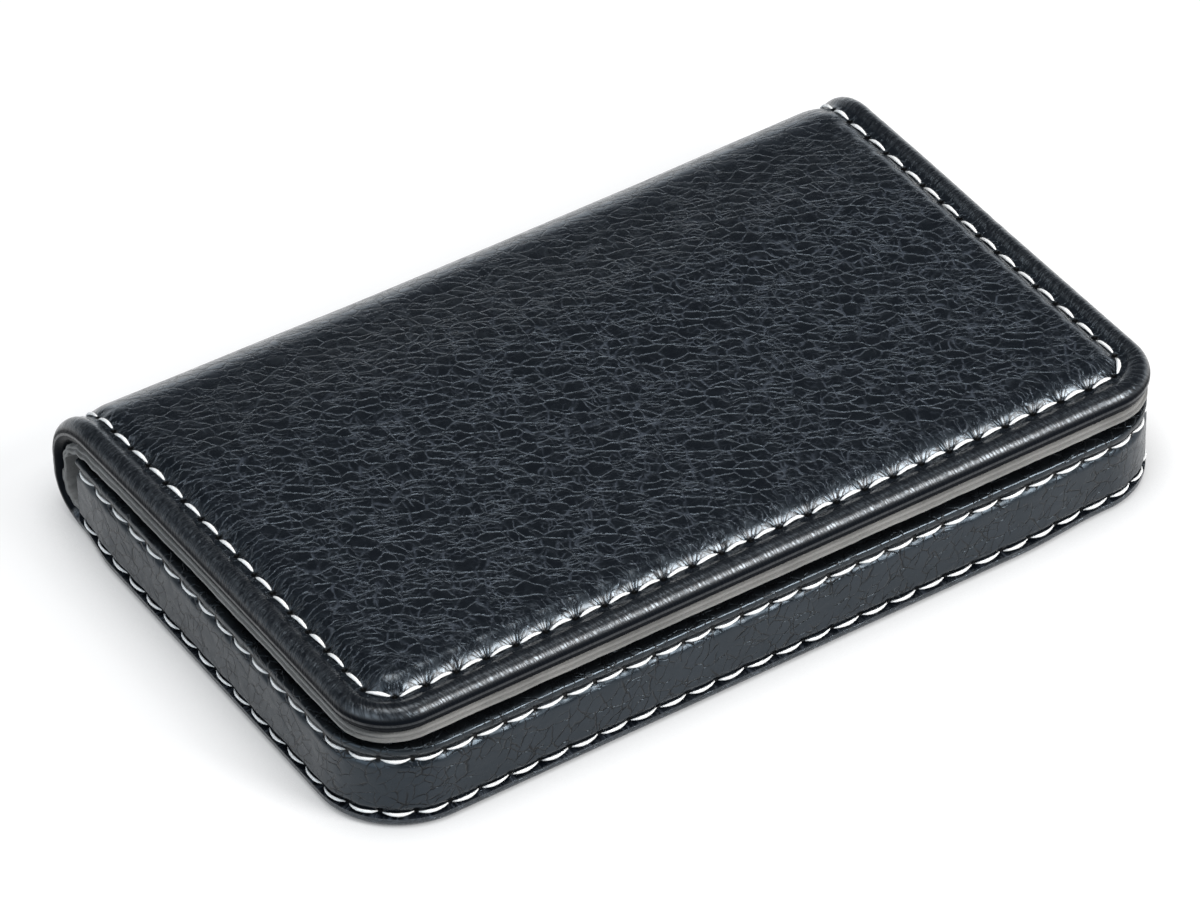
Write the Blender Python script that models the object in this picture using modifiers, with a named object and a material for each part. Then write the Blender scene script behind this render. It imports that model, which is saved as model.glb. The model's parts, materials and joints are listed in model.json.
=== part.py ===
# Flip-top card case: a shallow tray for cards, and one leather cover that runs
# from under the tray round a soft spine and over the top as a padded lid.
# X runs along the long side, the lid opens at the front (-Y), the spine is at
# the back (+Y). The origin is under the middle of the base, on the table.

import math

import bmesh
import bpy
import numpy as np

# Sheet goods
LEATHER = 0.0006
LINING = 0.0009
FIT = 0.00025

# Card bay and tray walls
BAY_LENGTH = 0.0974
BAY_WIDTH = 0.0554
WALL_CORE = 0.0012
RIM_HEIGHT = 0.0102
RIM_CURVE = 0.0009
TRAY_CORNER = 0.0095
BASE_BOARD = 0.0008
FLOOR_LINING = 0.0008
BASE_LIP = 0.00115
BASE_ROUND = 0.00075
BACK_BOARD = 0.0007
BACK_WALL_DROP = 0.0005
WALL_END = 0.00025

# Cover: lid, spine and their edges
LID_CORNER = 0.0063
LID_SETBACK_END = 0.0012
LID_SETBACK_FRONT = 0.0013
MOUTH = 0.0018
GROOVE = 0.0002
ROLL = 0.0021
ROLL_WIDTH = 0.0023
ROLL_END = math.radians(140)
CROWN = 0.0009
PUFF_WIDTH = 0.012
CROWN_FADE = 0.012
UPPER_FOLD = 0.0050
LOWER_FOLD = 0.0050
SPINE_ROOM = 0.00305
SPINE_BOARD = 0.0010
LID_BOARD = 0.0007
LINING_INSET = 0.00035

# Stitching
STITCH_PITCH = 0.0037
STITCH_INSET = 0.0028
THREAD_RADIUS = 0.00022
CHANNEL_DEPTH = 0.0004
CHANNEL_WIDTH = 0.0007
CHANNEL_SLOPE = 0.0003
THREAD_HIGH = 0.00012
THREAD_LOW = -0.00010
STITCH_DIP = 0.02
STITCH_RISE = 0.22
TOP_ROW_DROP = 0.00145
BOTTOM_ROW_RISE = 0.00045

# Magnets, steel plates and the pocket in the lid
MAGNET_LENGTH = 0.010
MAGNET_HEIGHT = 0.0055
MAGNET_THICKNESS = 0.0010
MAGNET_OFFSET = 0.025
PLATE_LENGTH = 0.012
PLATE_WIDTH = 0.005
PLATE_THICKNESS = 0.0005
PLATE_SETBACK = 0.0045
POCKET_LENGTH = 0.091
POCKET_WIDTH = 0.044
POCKET_THICKNESS = 0.0008
POCKET_CORNER = 0.003
NOTCH_RADIUS = 0.009
POCKET_BACK_MARGIN = 0.0020

# Worked out from the sizes above
WALL = CHANNEL_DEPTH + 2 * LEATHER + 2 * FIT + WALL_CORE
BACK_WALL = BACK_BOARD + 2 * (LEATHER + FIT)
TRAY_HALF = BAY_LENGTH / 2 + WALL
COVER = LINING + GROOVE + ROLL
DEPTH = WALL + BAY_WIDTH + BACK_WALL + WALL_END + SPINE_ROOM + COVER
FRONT = -DEPTH / 2
BACK = DEPTH / 2
BAY_FRONT = FRONT + WALL
BAY_BACK = BAY_FRONT + BAY_WIDTH
WALL_REAR = BAY_BACK + BACK_WALL + WALL_END
BASE_TOP = LEATHER + FIT + BASE_BOARD
LID_HALF = TRAY_HALF - LID_SETBACK_END
LID_FRONT = FRONT + LID_SETBACK_FRONT
COVER_TOP = RIM_HEIGHT + MOUTH + COVER
LINING_FACE = -(ROLL + GROOVE)
FLAT_TOP = BACK - UPPER_FOLD - LID_FRONT
TOP_ARC = UPPER_FOLD * math.pi / 2
SPINE_FLAT = COVER_TOP - UPPER_FOLD - LOWER_FOLD
LOW_ARC = LOWER_FOLD * math.pi / 2
FLAT_BASE = BACK - LOWER_FOLD - FRONT
COVER_RUN = FLAT_TOP + TOP_ARC + SPINE_FLAT + LOW_ARC + FLAT_BASE
TOP_ROW = RIM_HEIGHT - TOP_ROW_DROP
BAND_BOTTOM = BASE_LIP + FIT
BOTTOM_ROW = BAND_BOTTOM + BOTTOM_ROW_RISE
FRAME_BOTTOM = BASE_TOP + FIT
CHANNEL_INNER = STITCH_INSET + CHANNEL_WIDTH / 2
CHANNEL_OUTER = STITCH_INSET - CHANNEL_WIDTH / 2

# A fold's hinge line lies on the fold's diagonal. This share of the radius,
# measured in from the corner of the two flats, keeps the leather's length the
# same from shut to flat.
HINGE_SHARE = 1 - math.pi / 4
LOWER_HINGE = (0, BACK - HINGE_SHARE * LOWER_FOLD, HINGE_SHARE * LOWER_FOLD)
UPPER_HINGE = (0, BACK - HINGE_SHARE * UPPER_FOLD, COVER_TOP - HINGE_SHARE * UPPER_FOLD)

# How finely curves are divided
ARC_STEPS = 6
FOLD_STEPS = 4
ROLL_STEPS = 8
THREAD_SIDE_STEPS = 40
THREAD_TURN_STEPS = 24
SMOOTH_BELOW = math.radians(40)
CURVED = FIT / 20


def clear_scene():
    for obj in list(bpy.data.objects):
        bpy.data.objects.remove(obj, do_unlink=True)


def make_collection(name):
    collection = bpy.data.collections.new(name)
    bpy.context.scene.collection.children.link(collection)
    return collection


def make_axis(name, place, parent=None):
    axis = bpy.data.objects.new(name, None)
    axis.empty_display_size = 0.01
    axis.location = place
    if parent:
        axis.parent = parent
        axis.location = [a - b for a, b in zip(place, parent.location)]
    parts.objects.link(axis)
    return axis


def make_material(name, color, roughness, metallic=0.0):
    material = bpy.data.materials.new(name)
    material.use_nodes = True
    shader = material.node_tree.nodes["Principled BSDF"]
    shader.inputs["Base Color"].default_value = (*color, 1)
    shader.inputs["Roughness"].default_value = roughness
    shader.inputs["Metallic"].default_value = metallic
    return material


def add_part(name, mesh, material, place=None):
    obj = bpy.data.objects.new(name, mesh)
    mesh.materials.append(material)
    parts.objects.link(obj)
    if place:
        axis, point = place
        obj.parent = axis
        obj.location = [-value for value in point]
    return obj


def mesh_from(bm, name, smooth=True):
    bmesh.ops.remove_doubles(bm, verts=bm.verts, dist=1e-7)
    bmesh.ops.dissolve_degenerate(bm, edges=bm.edges, dist=1e-7)
    mesh = bpy.data.meshes.new(name)
    bm.to_mesh(mesh)
    bm.free()
    if smooth:
        mesh.shade_smooth()
        mesh.set_sharp_from_angle(angle=SMOOTH_BELOW)
    return mesh


def thicken(obj, thickness):
    shell = obj.modifiers.new("thickness", "SOLIDIFY")
    shell.thickness = thickness
    shell.offset = -1
    shell.use_even_offset = True
    return shell


def smooth_step(value):
    value = min(max(value, 0.0), 1.0)
    return value * value * (3 - 2 * value)


def spread(start, end, steps):
    return [float(value) for value in np.linspace(start, end, steps + 1)]


def cover_point(run, lift):
    # The cover is followed from the lid's front edge over the top, down the
    # spine and forward under the base. run is the way gone along its outer
    # face, lift is the height off that face.
    if run <= FLAT_TOP:
        return LID_FRONT + run, COVER_TOP + lift
    run -= FLAT_TOP
    if run <= TOP_ARC:
        angle = run / UPPER_FOLD
        radius = UPPER_FOLD + lift
        return (
            BACK - UPPER_FOLD + radius * math.sin(angle),
            COVER_TOP - UPPER_FOLD + radius * math.cos(angle),
        )
    run -= TOP_ARC
    if run <= SPINE_FLAT:
        return BACK + lift, COVER_TOP - UPPER_FOLD - run
    run -= SPINE_FLAT
    if run <= LOW_ARC:
        angle = run / LOWER_FOLD
        radius = LOWER_FOLD + lift
        return (
            BACK - LOWER_FOLD + radius * math.cos(angle),
            LOWER_FOLD - radius * math.sin(angle),
        )
    return BACK - LOWER_FOLD - (run - LOW_ARC), -lift


def fold_end(fold, lift):
    # How far round a fold a layer goes before it meets the next body's layer.
    # The layers stop on two planes, half a clearance each side of the diagonal.
    radius = fold + lift
    return fold * (math.pi / 4 - math.asin(FIT / 2 / radius))


def lid_end(lift):
    return FLAT_TOP + fold_end(UPPER_FOLD, lift)


def base_end(lift):
    return FLAT_BASE + fold_end(LOWER_FOLD, lift)


def spine_runs(lift):
    top = FLAT_TOP + TOP_ARC
    low = top + SPINE_FLAT
    upper = spread(top - fold_end(UPPER_FOLD, lift), top, FOLD_STEPS)
    lower = spread(low, low + fold_end(LOWER_FOLD, lift), FOLD_STEPS)
    return upper + lower


def u_line(half_at, corner, inset, rows, columns):
    # Outline of a panel with two round front corners, from the left rear round
    # the front to the right rear, moved in by inset. Points are (across, back
    # from the front edge).
    half = half_at(corner)
    radius = corner - inset
    left = [(inset - half_at(back), back) for back in reversed(rows)]
    turn = [
        (corner - half - radius * math.cos(a), corner - radius * math.sin(a))
        for a in spread(0, math.pi / 2, ARC_STEPS)[1:-1]
    ]
    front = [(across, inset) for across in columns]
    right = [(-across, back) for across, back in reversed(left + turn)]
    return left + turn + front + right


def loft(bm, lines):
    grid = [[bm.verts.new(point) for point in line] for line in lines]
    for low, high in zip(grid, grid[1:]):
        for a, b, c, d in zip(low, low[1:], high[1:], high):
            bm.faces.new((a, b, c, d))
    return grid


def panel(bm, half_at, corner, section, inner_lift, rows, columns, point):
    # Rings round the open U of the edge, then a grid across the middle. Behind
    # the round corners the edge's section can change from row to row.
    sections = {back: section(back) for back in rows}
    rings = []
    for index, (front_inset, front_lift) in enumerate(sections[rows[0]]):
        ring = []
        for across, back in u_line(half_at, corner, front_inset, rows, columns):
            lift = front_lift
            if back in sections:
                inset, lift = sections[back][index]
                across = math.copysign(half_at(back) - inset, across)
            ring.append(point(across, back, lift))
        rings.append(ring)
    edge_line = u_line(half_at, corner, corner, rows, columns)
    rings.append([point(across, back, inner_lift(across, back)) for across, back in edge_line])
    loft(bm, rings)
    reach = half_at(corner) - corner
    middle = []
    for back in rows:
        wide = (half_at(back) - corner) / reach
        middle.append([point(u * wide, back, inner_lift(u * wide, back)) for u in columns])
    loft(bm, middle)


def roll_section():
    # The rolled edge, from its turned-in end round to the stitch channel, then
    # the channel itself. Points are (inset, lift).
    middle = -ROLL / 2
    half_width = ROLL_WIDTH / 2
    turns = spread(-math.pi / 2, ROLL_END, ROLL_STEPS)
    roll = [
        (half_width * (1 - math.cos(a)), middle + ROLL / 2 * math.sin(a)) for a in turns
    ]
    channel = [
        (CHANNEL_OUTER, -CHANNEL_DEPTH),
        (CHANNEL_INNER, -CHANNEL_DEPTH),
        (CHANNEL_INNER + CHANNEL_SLOPE, 0),
    ]
    return roll + channel


def crown_lift(across, back):
    edge = min(LID_HALF - abs(across), back)
    rise = min(max((edge - CHANNEL_INNER - CHANNEL_SLOPE) / PUFF_WIDTH, 0), 1)
    fade = 1 - smooth_step((back - FLAT_TOP) / CROWN_FADE + 1)
    return CROWN * (1 - (1 - rise) ** 2) * fade


def lid_half(back):
    return LID_HALF


def lid_point(across, back, lift):
    return (across, *cover_point(back, lift))


def base_point(across, back, lift):
    return (across, *cover_point(COVER_RUN - back, lift))


def lid_rows(end):
    slope = FLAT_TOP - CROWN_FADE
    return (
        spread(LID_CORNER, slope, 4)
        + spread(slope, FLAT_TOP, 3)[1:]
        + spread(FLAT_TOP, end, FOLD_STEPS)[1:]
    )


def lid_columns(steps=8):
    reach = LID_HALF - LID_CORNER
    return [reach * math.sin(a) for a in spread(-math.pi / 2, math.pi / 2, steps)]


def build_lid_leather():
    bm = bmesh.new()
    rise = LID_CORNER - CHANNEL_INNER - CHANNEL_SLOPE

    def section(back):
        shoulder_inset = CHANNEL_INNER + CHANNEL_SLOPE + rise / 3
        shoulder = (shoulder_inset, crown_lift(LID_HALF - shoulder_inset, back))
        return roll_section() + [shoulder]

    rows = lid_rows(lid_end(0))
    panel(bm, lid_half, LID_CORNER, section, crown_lift, rows, lid_columns(), lid_point)
    obj = add_part("lid_leather", mesh_from(bm, "lid_leather"), black_leather, on_lid)
    thicken(obj, LEATHER)


def build_lid_foam():
    inset = CHANNEL_INNER + LEATHER + 3 * FIT
    bottom = COVER_TOP - ROLL + LID_BOARD + FIT
    end = FLAT_TOP - FIT
    bm = bmesh.new()

    def top(across, back, _lift=0):
        lift = crown_lift(across, back) - LEATHER - FIT
        return (across, *cover_point(back, lift))

    rows = [back for back in lid_rows(FLAT_TOP) if back < end][:-1] + [end]
    columns = lid_columns()
    edge = u_line(lid_half, LID_CORNER, inset, rows, columns)
    inner = u_line(lid_half, LID_CORNER, LID_CORNER, rows, columns)
    loft(bm, [[top(*place) for place in edge], [top(*place) for place in inner]])
    loft(bm, [[top(across, back) for across in columns] for back in rows])
    bmesh.ops.remove_doubles(bm, verts=bm.verts, dist=1e-7)
    rim = [item for item in bm.edges if item.is_boundary]
    skirt = bmesh.ops.extrude_edge_only(bm, edges=rim)["geom"]
    for item in skirt:
        if isinstance(item, bmesh.types.BMVert):
            item.co.z = bottom
    bmesh.ops.holes_fill(bm, edges=[item for item in bm.edges if item.is_boundary])
    bmesh.ops.recalc_face_normals(bm, faces=bm.faces)
    add_part("lid_foam", mesh_from(bm, "lid_foam"), foam, on_lid)


def sheet(name, material, place, rows, half_at, corner, inset, lift, thickness, point):
    # A layer of the cover: two points a row, and closer rows round the corners.
    bm = bmesh.new()
    radius = corner - inset
    lines = []
    for a in spread(math.pi / 2, 0, ARC_STEPS)[:-1]:
        half = half_at(corner) - corner + radius * math.cos(a)
        lines.append((half, corner - radius * math.sin(a)))
    lines += [(half_at(back) - inset, back) for back in rows]
    loft(bm, [[point(-half, back, lift), point(half, back, lift)] for half, back in lines])
    obj = add_part(name, mesh_from(bm, name), material, place)
    thicken(obj, thickness)
    return obj


def strip(name, material, place, runs, half, lift, thickness):
    bm = bmesh.new()
    loft(bm, [[(-half, *cover_point(run, lift)), (half, *cover_point(run, lift))] for run in runs])
    obj = add_part(name, mesh_from(bm, name), material, place)
    thicken(obj, thickness)


def lid_lining_rows():
    face = LINING_FACE - LINING
    return [LID_CORNER] + spread(FLAT_TOP, lid_end(face), FOLD_STEPS)


def build_lid_lining():
    sheet("lid_lining", grey_lining, on_lid, lid_lining_rows(), lid_half, LID_CORNER,
          LINING_INSET, LINING_FACE, LINING, lid_point)


def build_lid_board():
    inset = ROLL_WIDTH / 2 + FIT
    rows = [LID_CORNER, FLAT_TOP - FIT]
    board = sheet("lid_board", board_grey, on_lid, rows, lid_half, LID_CORNER,
                  inset, LID_BOARD - ROLL, LID_BOARD, lid_point)
    for side in (-1, 1):
        name = "plate_window_left" if side < 0 else "plate_window_right"
        size = (PLATE_LENGTH + 2 * FIT, PLATE_WIDTH + 2 * FIT, 4 * LID_BOARD)
        cut(board, name, box_mesh(name, size), plate_place(side))


def plate_place(side):
    middle = LID_FRONT + PLATE_SETBACK + PLATE_WIDTH / 2
    return side * MAGNET_OFFSET, middle, COVER_TOP - ROLL + LID_BOARD / 2


def box_mesh(name, size):
    bm = bmesh.new()
    bmesh.ops.create_cube(bm, size=1)
    bmesh.ops.scale(bm, vec=size, verts=bm.verts)
    return mesh_from(bm, name, smooth=False)


def cut(target, name, mesh, place):
    cutter = bpy.data.objects.new(name, mesh)
    cutter.location = place
    cutter.hide_render = True
    cutter.display_type = "WIRE"
    cutters.objects.link(cutter)
    boolean = target.modifiers.new(name, "BOOLEAN")
    boolean.operation = "DIFFERENCE"
    boolean.solver = "EXACT"
    boolean.object = cutter


def build_lid_plates():
    size = (PLATE_LENGTH, PLATE_WIDTH, PLATE_THICKNESS)
    for side, word in ((-1, "left"), (1, "right")):
        name = "lid_plate_" + word
        mesh = box_mesh(name, size)
        for vert in mesh.vertices:
            vert.co = [a + b for a, b in zip(vert.co, plate_place(side))]
        add_part(name, mesh, steel, on_lid)


def build_lid_pocket():
    half = POCKET_LENGTH / 2
    back = BAY_BACK - POCKET_BACK_MARGIN
    front = back - POCKET_WIDTH
    r = POCKET_CORNER
    centres = [(half - r, back - r, 0), (r - half, back - r, 1), (r - half, front + r, 2)]
    outline = []
    for x, y, quarter in centres:
        for a in spread(quarter * math.pi / 2, (quarter + 1) * math.pi / 2, ARC_STEPS):
            outline.append((x + r * math.cos(a), y + r * math.sin(a)))
    for a in spread(math.pi, 0, 2 * ARC_STEPS):
        outline.append((NOTCH_RADIUS * math.cos(a), front + NOTCH_RADIUS * math.sin(a)))
    for a in spread(1.5 * math.pi, 2 * math.pi, ARC_STEPS):
        outline.append((half - r + r * math.cos(a), front + r + r * math.sin(a)))
    top = RIM_HEIGHT + MOUTH - FIT
    bm = bmesh.new()
    bm.faces.new([bm.verts.new((x, y, top)) for x, y in outline])
    bm.normal_update()
    obj = add_part("lid_pocket", mesh_from(bm, "lid_pocket"), black_panel, on_lid)
    thicken(obj, POCKET_THICKNESS)


def build_spine_leather():
    bm = bmesh.new()
    half_section = roll_section()
    lines = []
    for run in spine_runs(0):
        left = [(inset - LID_HALF, lift) for inset, lift in half_section]
        right = [(-x, lift) for x, lift in reversed(left)]
        lines.append([(x, *cover_point(run, lift)) for x, lift in left + right])
    loft(bm, lines)
    obj = add_part("spine_leather", mesh_from(bm, "spine_leather"), black_leather, on_spine)
    thicken(obj, LEATHER)


def build_spine_layers():
    face = LINING_FACE - LINING
    strip("spine_lining", grey_lining, on_spine, spine_runs(face),
          LID_HALF - LINING_INSET, LINING_FACE, LINING)
    top = FLAT_TOP + TOP_ARC
    half = LID_HALF - CHANNEL_INNER - LEATHER - 2 * FIT
    strip("spine_stiffener", board_grey, on_spine, [top, top + SPINE_FLAT],
          half, -LEATHER - FIT, SPINE_BOARD)


def base_half(back):
    start = WALL_REAR - FRONT
    turn = (back - start) / (LOWER_FOLD / 2)
    return TRAY_HALF - LID_SETBACK_END * smooth_step(turn)


def base_section(back):
    # A low turned-up edge under the tray that grows into the spine's roll.
    roll = roll_section()
    count = len(roll) - 3
    rise = spread(0, 1, 3)[:-1]
    lip = [(0, -BASE_LIP + (BASE_LIP - BASE_ROUND) * step) for step in rise]
    bend = [
        (BASE_ROUND * (1 - math.cos(a)), BASE_ROUND * (math.sin(a) - 1))
        for a in spread(0, math.pi / 2, count - 1 - len(lip))
    ]
    flat = [(inset, 0) for inset, _ in roll[count:]]
    start = WALL_REAR - FRONT + FIT
    share = smooth_step((back - start) / (LOWER_FOLD / 2))
    return [
        tuple(a + (b - a) * share for a, b in zip(low, high))
        for low, high in zip(lip + bend + flat, roll)
    ]


def base_rows(end):
    start = WALL_REAR - FRONT
    return (
        [TRAY_CORNER, start]
        + spread(start, FLAT_BASE, 2)[1:]
        + spread(FLAT_BASE, end, FOLD_STEPS)[1:]
    )


def build_base_leather():
    bm = bmesh.new()
    reach = TRAY_HALF - TRAY_CORNER
    panel(bm, base_half, TRAY_CORNER, base_section, lambda across, back: 0,
          base_rows(base_end(0)), [-reach, reach], base_point)
    bmesh.ops.reverse_faces(bm, faces=bm.faces)
    obj = add_part("base_leather", mesh_from(bm, "base_leather"), black_leather)
    thicken(obj, LEATHER)


def build_base_layers():
    inset = CHANNEL_DEPTH + LEATHER + FIT
    rows = [TRAY_CORNER, WALL_REAR - LEATHER - FIT - FRONT]
    sheet("base_board", board_grey, None, rows, lambda back: TRAY_HALF, TRAY_CORNER,
          inset, 0, BASE_BOARD, lambda x, back, lift: (x, FRONT + back, BASE_TOP))
    floor = FRAME_BOTTOM + FLOOR_LINING
    rows = [TRAY_CORNER, BAY_BACK - FIT - FRONT]
    sheet("tray_lining", grey_lining, None, rows, lambda back: TRAY_HALF, TRAY_CORNER,
          WALL + FIT, 0, FLOOR_LINING, lambda x, back, lift: (x, FRONT + back, floor))
    face = LINING_FACE - LINING
    start = COVER_RUN - base_end(face)
    glued = COVER_RUN - (BAY_BACK + BACK_WALL + FIT - FRONT)
    low = COVER_RUN - FLAT_BASE
    strip("hem_lining", grey_lining, None, spread(start, low, FOLD_STEPS) + [glued],
          LID_HALF - LINING_INSET, LINING_FACE, LINING)


def wall_path(inset, rear):
    # Plan line of the tray wall, from the left rear round the front.
    reach = TRAY_HALF - TRAY_CORNER
    rows = [TRAY_CORNER, rear - FRONT]
    line = u_line(lambda back: TRAY_HALF, TRAY_CORNER, inset, rows, [-reach, reach])
    return [(x, FRONT + back) for x, back in line]


def band_section():
    rim = [
        (WALL / 2 * (1 - math.cos(a)), RIM_HEIGHT - RIM_CURVE * (1 - math.sin(a)))
        for a in spread(0, math.pi, ARC_STEPS)
    ]
    half = CHANNEL_WIDTH / 2
    return [
        (CHANNEL_DEPTH, BAND_BOTTOM),
        (CHANNEL_DEPTH, BOTTOM_ROW + half),
        (0, BOTTOM_ROW + half + CHANNEL_SLOPE),
        (0, TOP_ROW - half - CHANNEL_SLOPE),
        (CHANNEL_DEPTH, TOP_ROW - half),
        (CHANNEL_DEPTH, TOP_ROW + half),
        *rim,
        (WALL, FRAME_BOTTOM),
    ]


def build_tray_band():
    bm = bmesh.new()
    section = band_section()
    lines = [[(x, y, z) for x, y in wall_path(inset, WALL_REAR)] for inset, z in section]
    grid = loft(bm, lines)
    bm.faces.new([line[0] for line in grid])
    bm.faces.new([line[-1] for line in reversed(grid)])
    bmesh.ops.recalc_face_normals(bm, faces=bm.faces)
    obj = add_part("tray_band", mesh_from(bm, "tray_band"), black_leather)
    thicken(obj, LEATHER)


def build_tray_frame():
    outer = CHANNEL_DEPTH + LEATHER + FIT
    rear = WALL_REAR - LEATHER - FIT
    top = RIM_HEIGHT - RIM_CURVE / 2 - LEATHER - FIT
    bm = bmesh.new()
    section = [(outer, FRAME_BOTTOM), (outer, top), (outer + WALL_CORE, top),
               (outer + WALL_CORE, FRAME_BOTTOM), (outer, FRAME_BOTTOM)]
    lines = [[(x, y, z) for x, y in wall_path(inset, rear)] for inset, z in section]
    grid = loft(bm, lines)
    bm.faces.new([line[0] for line in grid[:-1]])
    bm.faces.new([line[-1] for line in reversed(grid[:-1])])
    bmesh.ops.remove_doubles(bm, verts=bm.verts, dist=1e-7)
    bmesh.ops.recalc_face_normals(bm, faces=bm.faces)
    frame = add_part("tray_frame", mesh_from(bm, "tray_frame"), frame_plastic)
    middle = FRONT + outer + WALL_CORE / 2
    for side, word in ((-1, "left"), (1, "right")):
        size = (MAGNET_LENGTH + 2 * FIT, 3 * WALL_CORE, 2 * (MAGNET_HEIGHT + FIT))
        name = "magnet_slot_" + word
        cut(frame, name, box_mesh(name, size), (side * MAGNET_OFFSET, middle, top))
        magnet = box_mesh("tray_magnet_" + word, (MAGNET_LENGTH, MAGNET_THICKNESS, MAGNET_HEIGHT))
        piece = add_part("tray_magnet_" + word, magnet, magnet_steel)
        piece.location = (side * MAGNET_OFFSET, middle, top - MAGNET_HEIGHT / 2)


def build_back_wall():
    half = TRAY_HALF - WALL - FIT
    top = RIM_HEIGHT - BACK_WALL_DROP
    middle = BAY_BACK + BACK_WALL / 2
    bend = BACK_WALL / 2
    section = [(-bend, FRAME_BOTTOM)]
    section += [
        (-bend * math.cos(a), top - RIM_CURVE * (1 - math.sin(a)))
        for a in spread(0, math.pi, ARC_STEPS)
    ]
    section.append((bend, FRAME_BOTTOM))
    bm = bmesh.new()
    lines = [[(-half, middle + y, z), (half, middle + y, z)] for y, z in section]
    grid = loft(bm, lines)
    bm.faces.new([line[0] for line in grid])
    bm.faces.new([line[-1] for line in reversed(grid)])
    bmesh.ops.recalc_face_normals(bm, faces=bm.faces)
    skin = add_part("back_wall_leather", mesh_from(bm, "back_wall_leather"), black_leather)
    thicken(skin, LEATHER)
    board_top = top - RIM_CURVE / 2 - LEATHER - FIT
    size = (2 * (half - LEATHER - FIT), BACK_BOARD, board_top - FRAME_BOTTOM)
    board = add_part("back_wall_board", box_mesh("back_wall_board", size), board_grey)
    board.location = (0, middle, FRAME_BOTTOM + size[2] / 2)


def stitch_points(line):
    # Each stitch dips through its hole and stands up between two high points,
    # with a third high point between them where the row bends.
    line = np.array(line)
    steps = np.linalg.norm(np.diff(line, axis=0), axis=1)
    run = np.concatenate([[0], np.cumsum(steps)])
    count = max(round(run[-1] / STITCH_PITCH), 1)
    pitch = run[-1] / count
    shape = [(STITCH_DIP, THREAD_LOW), (STITCH_RISE, THREAD_HIGH),
             (0.5, THREAD_HIGH), (1 - STITCH_RISE, THREAD_HIGH)]
    wanted = [((index + share) * pitch, lift) for index in range(count) for share, lift in shape]
    wanted.append((run[-1], THREAD_LOW))
    places = np.array([
        [np.interp(way, run, line[:, 0]), np.interp(way, run, line[:, 1])] for way, _ in wanted
    ])
    kept = []
    for number, (_, lift) in enumerate(wanted):
        if number % len(shape) == 2:
            chord = (places[number - 1] + places[number + 1]) / 2
            if np.linalg.norm(chord - places[number]) < CURVED:
                continue
        kept.append((places[number], lift))
    return kept


def thread(name, points, place=None):
    curve = bpy.data.curves.new(name, "CURVE")
    curve.dimensions = "3D"
    curve.bevel_depth = THREAD_RADIUS
    curve.bevel_resolution = 1
    curve.use_fill_caps = True
    spline = curve.splines.new("POLY")
    spline.points.add(len(points) - 1)
    for item, point in zip(spline.points, points):
        item.co = (*point, 1)
    obj = bpy.data.objects.new(name, curve)
    curve.materials.append(white_thread)
    parts.objects.link(obj)
    if place:
        axis, point = place
        obj.parent = axis
        obj.location = [-value for value in point]


def fine_line(half_at, corner, inset, end):
    # The same outline as u_line with close points, for a row of stitches.
    reach = half_at(corner) - corner
    radius = corner - inset
    side = [(inset - half_at(back), back) for back in spread(end, corner, THREAD_SIDE_STEPS)]
    turn = [
        (-reach - radius * math.cos(a), corner - radius * math.sin(a))
        for a in spread(0, math.pi / 2, THREAD_TURN_STEPS)
    ]
    half = side + turn[1:]
    return half + [(-across, back) for across, back in reversed(half)]


def build_threads():
    line = fine_line(lid_half, LID_CORNER, STITCH_INSET, lid_end(0) - 2 * FIT)
    points = [lid_point(across, back, lift) for (across, back), lift in stitch_points(line)]
    thread("lid_thread", points, on_lid)

    runs = spine_runs(0)
    ends = [(0, runs[0] + 2 * FIT), (0, runs[-1] - 2 * FIT)]
    for side, word in ((-1, "left"), (1, "right")):
        points = [(side * (LID_HALF - STITCH_INSET), *cover_point(run, lift))
                  for (_, run), lift in stitch_points(ends)]
        thread("spine_thread_" + word, points, on_spine)

    rear = WALL_REAR - FRONT - LEATHER
    for name, height in (("band_top_thread", TOP_ROW), ("band_bottom_thread", BOTTOM_ROW)):
        line = fine_line(lambda back: TRAY_HALF, TRAY_CORNER, 0, rear)
        points = []
        for (across, back), lift in stitch_points(line):
            points.append(pushed_out(across, back, lift, height))
        thread(name, points)


def pushed_out(across, back, lift, height):
    # A point of the tray's outer line, moved out square to the wall by lift.
    reach = TRAY_HALF - TRAY_CORNER
    if back >= TRAY_CORNER:
        normal = (math.copysign(1, across), 0)
    elif abs(across) <= reach:
        normal = (0, -1)
    else:
        dx = abs(across) - reach
        dy = TRAY_CORNER - back
        size = math.hypot(dx, dy)
        normal = (math.copysign(dx / size, across), -dy / size)
    return across + normal[0] * lift, FRONT + back + normal[1] * lift, height


clear_scene()
parts = make_collection("card_case")
cutters = make_collection("cutters")
black_leather = make_material("black_leather", (0.012, 0.013, 0.016), 0.45)
black_panel = make_material("black_panel", (0.010, 0.010, 0.011), 0.6)
grey_lining = make_material("grey_lining", (0.20, 0.195, 0.185), 0.95)
board_grey = make_material("board_grey", (0.28, 0.26, 0.23), 0.9)
foam = make_material("foam", (0.72, 0.72, 0.68), 0.95)
frame_plastic = make_material("frame_plastic", (0.02, 0.02, 0.02), 0.6)
white_thread = make_material("white_thread", (0.82, 0.81, 0.78), 0.75)
steel = make_material("steel", (0.55, 0.55, 0.56), 0.35, 1.0)
magnet_steel = make_material("magnet_steel", (0.45, 0.45, 0.46), 0.3, 1.0)

spine_fold = make_axis("spine_fold_axis", LOWER_HINGE)
lid_fold = make_axis("lid_fold_axis", UPPER_HINGE, spine_fold)
on_spine = (spine_fold, LOWER_HINGE)
on_lid = (lid_fold, UPPER_HINGE)

build_base_leather()
build_base_layers()
build_tray_band()
build_tray_frame()
build_back_wall()
build_spine_leather()
build_spine_layers()
build_lid_leather()
build_lid_foam()
build_lid_board()
build_lid_plates()
build_lid_lining()
build_lid_pocket()
build_threads()
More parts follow.
